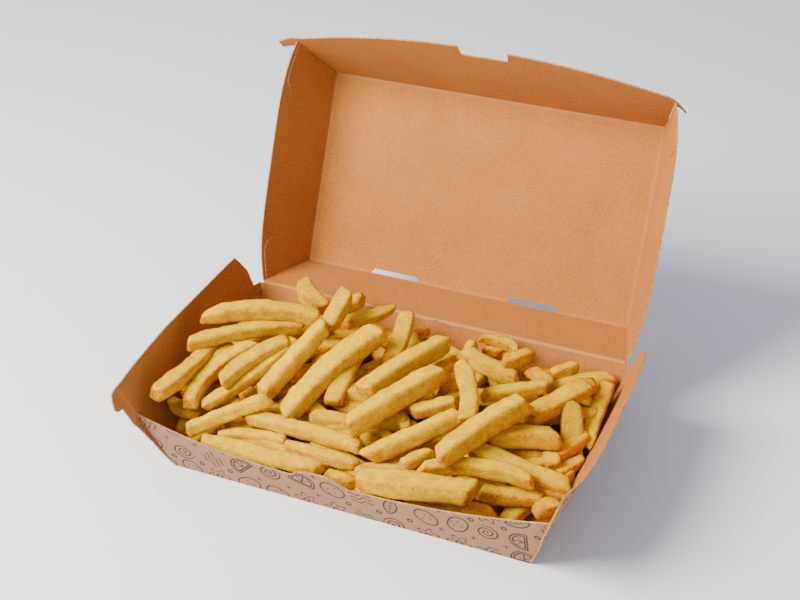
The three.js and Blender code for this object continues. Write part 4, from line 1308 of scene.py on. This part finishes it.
def fry_bar(length, ring_step, cuts_across):
    """A bar from x = 0 to 1 with a square section from -1 to 1, cut into rings."""
    bar = bmesh.new()
    bmesh.ops.create_cube(bar, size=1)
    along = [edge for edge in bar.edges if abs(edge.verts[0].co.x - edge.verts[1].co.x) > 0.5]
    cuts = max(FEWEST_RINGS, round(length / ring_step))
    bmesh.ops.subdivide_edges(bar, edges=along, cuts=cuts, use_grid_fill=True)
    across = [edge for edge in bar.edges if abs(edge.verts[0].co.x - edge.verts[1].co.x) < 1e-6]
    bmesh.ops.subdivide_edges(bar, edges=across, cuts=cuts_across, use_grid_fill=True)
    bmesh.ops.transform(bar, matrix=Matrix.Diagonal((1, 2, 2, 1)), verts=bar.verts[:])
    bmesh.ops.translate(bar, vec=(0.5, 0, 0), verts=bar.verts[:])
    for vert in bar.verts:
        vert.co.x -= RING_CROWD * math.sin(2 * math.pi * vert.co.x) / (2 * math.pi)
    return bar


def keep_inside(point):
    """Pushes a point that is past a wall of the base back to the wall's inner face."""
    x, y, z = point
    level = min(z, RIM_HEIGHT)
    long_limit = BASE_DEPTH / 2 + LONG_FLARE * level / RIM_HEIGHT - LONG_WALL_SLANT * CLEARANCE
    y = max(-long_limit, min(long_limit, y))
    side = 1 if x > 0 else -1
    v = min(z * END_SLOPE_LENGTH / RIM_HEIGHT, HIGHEST_BOW)
    bow = end_wall_bow(side, v) * bow_shape(y, 0, HALF_RIM_DEPTH)
    end_limit = BASE_WIDTH / 2 + END_FLARE * z / RIM_HEIGHT + END_WALL_SLANT * (bow - CLEARANCE)
    x = max(-end_limit, min(end_limit, x))
    return Vector((x, y, max(z, FLOOR_CLEARANCE)))


class Fry:
    """One fry: its ends, its frame of directions, and the random turns of its shape."""

    def __init__(self, row, draw):
        start, end, thick, self.bend, self.arch, colour = row[:6]
        self.thick = FRY_FLESH * thick
        self.start = Vector(start)
        self.along = Vector(end) - self.start
        self.length = self.along.length
        self.along.normalize()
        self.side = Vector((-self.along.y, self.along.x, 0)).normalized()
        self.up = self.along.cross(self.side)
        self.roll = (draw.random() - 0.5) * FRY_ROLL
        self.twist = draw.uniform(-FRY_TWIST, FRY_TWIST)
        self.upright = draw.uniform(FRY_FLATTEST, 1.0)
        self.tapers = [1 - FRY_TAPER * draw.random(), 1 - FRY_TAPER * draw.random()]
        if len(row) > 6:
            self.tapers = [min(pair) for pair in zip(self.tapers, row[6])]
        self.slants = [[draw.uniform(-FRY_SLANT, FRY_SLANT) for _ in range(2)] for _ in range(2)]
        colour += draw.uniform(-FRY_COLOUR_SPREAD, FRY_COLOUR_SPREAD)
        self.tint = min(1.0, max(0.0, colour))
        self.seed = Vector([draw.uniform(0, FRY_SEEDS) for _ in range(3)])

    def to_end(self, t):
        """How far t is from the nearer end."""
        return min(t, 1 - t) * self.length

    def rumple(self, t, pitch, a=0, b=0):
        return noise.noise(Vector((t * self.length / pitch, a, b)) + self.seed)

    def half_thickness(self, t):
        """Half the thickness at t, tapered towards the ends and rounded off at them."""
        near_end = self.to_end(t)
        taper = self.tapers[t > 0.5]
        share = taper + (1 - taper) * min(1.0, near_end / FRY_TAPER_REACH)
        if near_end < FRY_END_ROUND:
            depth = 1 - near_end / FRY_END_ROUND
            share *= FRY_END_SHARE + (1 - FRY_END_SHARE) * math.sqrt(1 - depth * depth)
        wander = 1 + FRY_WANDER * self.rumple(t, FRY_WANDER_PITCH)
        return self.thick / 2 * share * wander

    def surface(self, t, a, b):
        """The point at t along the fry, and a, b across it."""
        size = (abs(a) ** FRY_SQUARE + abs(b) ** FRY_SQUARE) ** (1 / FRY_SQUARE)
        outer = max(abs(a), abs(b))
        shrink = outer / size if size > 0 else 1.0
        dent = FRY_HOLLOW * (0.6 + self.rumple(t, FRY_HOLLOW_PITCH, a, b))
        shrink *= 1 - dent * (1 - min(abs(a), abs(b)) ** 2) * outer
        roll = self.roll + self.twist * (2 * t - 1)
        across = self.side * math.cos(roll) + self.up * math.sin(roll)
        over = self.up * math.cos(roll) - self.side * math.sin(roll)
        slant_a, slant_b = self.slants[t > 0.5]
        pull = max(0.0, 1 - self.to_end(t) / (FRY_SLANT_REACH * self.thick))
        lean = pull * (slant_a * a + slant_b * b) * self.thick / 2
        sag = 1 - (2 * t - 1) ** 2
        half = self.half_thickness(t)
        point = self.start + self.along * (t * self.length + lean)
        point += self.side * (self.bend * sag) + self.up * (self.arch * sag)
        point += across * (a * shrink * half) + over * (b * shrink * half * self.upright)
        outward = (across * a + over * b).normalized() if outer > 0 else self.along
        rough = 1.4 * noise.noise(point * FRY_LUMP_COARSE + self.seed)
        rough += 0.7 * noise.noise(point * FRY_LUMP_FINE + self.seed)
        return point + outward * FRY_LUMP * rough


def add_fry(pile, row, draw, ring_step, cuts_across):
    """Adds one fry. Its attribute look holds its tint, deepened on its sides as painted shade, its
    golden edges and its browner ends.
    """
    fry = Fry(row, draw)
    bar = fry_bar(fry.length, ring_step, cuts_across)
    flat_map = bar.loops.layers.uv.new("UVMap")
    look = bar.verts.layers.float_color.new("look")
    for face in bar.faces:
        for loop in face.loops:
            t, a, b = loop.vert.co
            turn = a if abs(b) > abs(a) else b + 2
            loop[flat_map].uv = (t * fry.length / 10 + fry.seed.x, turn * fry.thick / 20 + fry.seed.y)
    for vert in bar.verts:
        t, a, b = vert.co
        edge = min(abs(a), abs(b)) ** FRY_EDGE_POWER
        # Painted shade: the sides of the fry are deepened in colour, the top and bottom made paler.
        tint = fry.tint + FRY_SIDE_PAINTED_SHADE * (a ** 4 - b ** 4)
        end = max(0.0, 1 - fry.to_end(t) / FRY_END_DEEPER)
        vert[look] = (min(1.0, max(0.0, tint)), edge, end, 1)
        vert.co = keep_inside(fry.surface(t, a, b)) * MM
    join_into(pile, bar)


# The mound that the fries lie on climbs to the back. Each hill: its middle, how much it adds there, and
# how far it spreads. A negative one is a dip.
MOUND_LOW = 10.0
MOUND_HIGH = 28.0
MOUND_SLOPE = 0.2
MOUND_HILLS = [(-52, 8, 14, 46, 28), (12, -2, 6, 34, 30), (84, -18, -6, 30, 34), (76, -50, -7, 30, 18)]
MOUND_HALF_WIDTH = 100.0
MOUND_HALF_DEPTH = 62.0
MOUND_LOWEST = CLEARANCE + 1
HOLLOW_REACH_X = 22.0
HOLLOW_REACH_Y = 28.0

# The fries for the gaps, in rows over the mound, each moved, turned and sized at random.
UNDER_SPAN_X = 196
UNDER_SPAN_Y = 118
UNDER_MOVE_X = 5
UNDER_MOVE_Y = 4
UNDER_HEADING = (-30, 80)
UNDER_HALF_LENGTH = (15, 26)
UNDER_THICK = (7.5, 10)
UNDER_COLOUR = (0.1, 0.7)
UNDER_BEND = 2
UNDER_LIMIT_X = 97
UNDER_LIMIT_Y = 58
UNDER_LEAST = 9.5  # where the mound is lower than this, no more fries lie on it


def corner_hollow(x, y):
    """How much of the mound's height is left at x, y: it thins out towards the two front corners."""
    across_x = (MOUND_HALF_WIDTH - abs(x)) / HOLLOW_REACH_X
    across_y = (y + MOUND_HALF_DEPTH) / HOLLOW_REACH_Y
    return min(1.0, math.hypot(across_x, across_y))


def mound_height(x, y):
    height = min(MOUND_HIGH, MOUND_LOW + MOUND_SLOPE * (y + MOUND_HALF_DEPTH))
    for hill_x, hill_y, rise, spread_x, spread_y in MOUND_HILLS:
        height += rise * math.exp(-(((x - hill_x) / spread_x) ** 2) - ((y - hill_y) / spread_y) ** 2)
    return MOUND_LOWEST + (height - MOUND_LOWEST) * corner_hollow(x, y) ** 2


def within_limit(value, limit):
    return max(-limit, min(limit, value))


def under_rows(draw, lift, spacing_x, spacing_y, least_hollow):
    """Fries for the gaps, spread evenly over the mound, a share of their thickness above it."""
    rows = []
    count_x = int(UNDER_SPAN_X / spacing_x)
    count_y = int(UNDER_SPAN_Y / spacing_y)
    for row, column in itertools.product(range(count_y), range(count_x)):
        x = (column - (count_x - 1) / 2) * spacing_x + draw.uniform(-UNDER_MOVE_X, UNDER_MOVE_X)
        y = (row - (count_y - 1) / 2) * spacing_y + draw.uniform(-UNDER_MOVE_Y, UNDER_MOVE_Y)
        heading = math.radians(draw.uniform(*UNDER_HEADING))
        half = draw.uniform(*UNDER_HALF_LENGTH)
        thick = draw.uniform(*UNDER_THICK)
        ends = []
        for sign in (-1, 1):
            end_x = within_limit(x + sign * half * math.cos(heading), UNDER_LIMIT_X)
            end_y = within_limit(y + sign * half * math.sin(heading), UNDER_LIMIT_Y)
            ends.append((end_x, end_y, mound_height(end_x, end_y) + lift * thick))
        colour = draw.uniform(*UNDER_COLOUR)
        if corner_hollow(x, y) >= least_hollow and mound_height(x, y) >= UNDER_LEAST:
            rows.append((ends[0], ends[1], thick, draw.uniform(-UNDER_BEND, UNDER_BEND), 0, colour))
    return rows


def pile_object(name, rows, seed, ring_step, cuts_across):
    draw = random.Random(seed)
    pile = bmesh.new()
    for row in rows:
        add_fry(pile, row, draw, ring_step, cuts_across)
    return new_piece(name, pile, (FRIED,))


CORE_DROP = 7.0  # how far the core lies below the mound that the fries lie on
CORE_LEAST = 0.4
CORE_CUTS = 47
CORE_LUMP = 1.2
CORE_LUMP_WAVES = 0.12  # waves of that to a millimetre
# A deep brown look for the core, part of its painted shade.
CORE_PAINTED_SHADE_LOOK = (1, 0.6, 0.8, 1)


def core_object():
    """The core below the fries, coloured with painted shade, which shows only in the deepest gaps."""
    core = bmesh.new()
    bmesh.ops.create_cube(core, size=2)
    level = [edge for edge in core.edges if abs(edge.verts[0].co.z - edge.verts[1].co.z) < 1e-6]
    bmesh.ops.subdivide_edges(core, edges=level, cuts=CORE_CUTS, use_grid_fill=True)
    core.loops.layers.uv.new("UVMap")
    look = core.verts.layers.float_color.new("look")
    for vert in core.verts:
        x = vert.co.x * MOUND_HALF_WIDTH
        y = vert.co.y * MOUND_HALF_DEPTH
        z = CLEARANCE
        if vert.co.z > 0:
            lump = CORE_LUMP * noise.noise(Vector((x, y, 0)) * CORE_LUMP_WAVES)
            z = max(CLEARANCE + CORE_LEAST, mound_height(x, y) - CORE_DROP + lump)
        vert[look] = CORE_PAINTED_SHADE_LOOK
        vert.co = keep_inside(Vector((x, y, z))) * MM
    return new_piece("fries_core", core, (FRIED_PAINTED_SHADE,))


# ---- Put together ----

base_board = base_tray()
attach(base_board, "base")
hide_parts("carton_base")

lid_board = lid_tray()
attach(lid_board, "lid")
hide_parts("carton_lid")

crease = crease_strip()
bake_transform(crease)

# Two layers of fries for the gaps: how high they lie as a share of their thickness, their spacing, and
# how near a hollow corner they may come.
UNDER_LAYERS = ((-0.1, 24, 18, 0.5), (0.35, 28, 22, 0.9))
UNDER_LAYOUT_SEED = 5
UNDER_SEED = 12
TOP_SEED = 11

under_draw = random.Random(UNDER_LAYOUT_SEED)
under = [row for layer in UNDER_LAYERS for row in under_rows(under_draw, *layer)]
top_pile = pile_object("fries_top", TOP_FRIES, TOP_SEED, ring_step=1.8, cuts_across=6)
under_pile = pile_object("fries_under", under, UNDER_SEED, ring_step=2.6, cuts_across=4)
core = core_object()
for piece in (top_pile, under_pile, core):
    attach(piece, "base")
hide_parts("fries_heap")

# ---- Floor, light and camera ----

FLOOR_SIZE = 3.0
FLOOR_GREY = (0.85, 0.85, 0.85)
CAMERA_TARGET = Vector((0.0065, 0, 0.0891))
CAMERA_AZIMUTH = math.radians(22.66)
CAMERA_ELEVATION = math.radians(31.91)
CAMERA_DISTANCE = 0.6563
CAMERA_LENS = 63.51
SKY_COLOUR = (0.97, 1.0, 1.20, 1)
SKY_STRENGTH = 0.66
KEY_PLACE = Vector((-0.62, -0.62, 0.84))
KEY_TARGET = Vector((0, 0, 0.05))
KEY_SIZE = 0.70
KEY_WATTS = 41
KEY_COLOUR = (1, 0.985, 0.90)


def studio_floor():
    sheet = bmesh.new()
    bmesh.ops.create_grid(sheet, x_segments=1, y_segments=1, size=FLOOR_SIZE / 2)
    mesh = bpy.data.meshes.new("floor")
    sheet.to_mesh(mesh)
    sheet.free()
    pale = Finish("studio_floor", 0.9, FLOOR_GREY)
    pale.set(Base_Color=FLOOR_GREY)
    mesh.materials.append(pale.material)
    floor = bpy.data.objects.new("floor", mesh)
    bpy.context.scene.collection.objects.link(floor)


def key_light():
    data = bpy.data.lights.new("key", "AREA")
    data.shape = "DISK"
    data.size = KEY_SIZE
    data.energy = KEY_WATTS
    data.color = KEY_COLOUR
    lamp = bpy.data.objects.new("key", data)
    lamp.location = KEY_PLACE
    lamp.rotation_euler = (KEY_TARGET - KEY_PLACE).to_track_quat("-Z", "Y").to_euler()
    bpy.context.scene.collection.objects.link(lamp)


def studio_sky():
    world = bpy.data.worlds.new("studio")
    world.use_nodes = True
    background = world.node_tree.nodes["Background"]
    background.inputs["Color"].default_value = SKY_COLOUR
    background.inputs["Strength"].default_value = SKY_STRENGTH
    bpy.context.scene.world = world


def studio_camera():
    data = bpy.data.cameras.new("camera")
    data.lens = CAMERA_LENS
    data.sensor_width = 36
    data.clip_start = 0.01
    camera = bpy.data.objects.new("camera", data)
    back = Vector((
        math.sin(CAMERA_AZIMUTH) * math.cos(CAMERA_ELEVATION),
        -math.cos(CAMERA_AZIMUTH) * math.cos(CAMERA_ELEVATION),
        math.sin(CAMERA_ELEVATION),
    ))
    camera.location = CAMERA_TARGET + back * CAMERA_DISTANCE
    camera.rotation_euler = (-back).to_track_quat("-Z", "Y").to_euler()
    bpy.context.scene.collection.objects.link(camera)
    bpy.context.scene.camera = camera


studio_floor()
studio_sky()
key_light()
studio_camera()
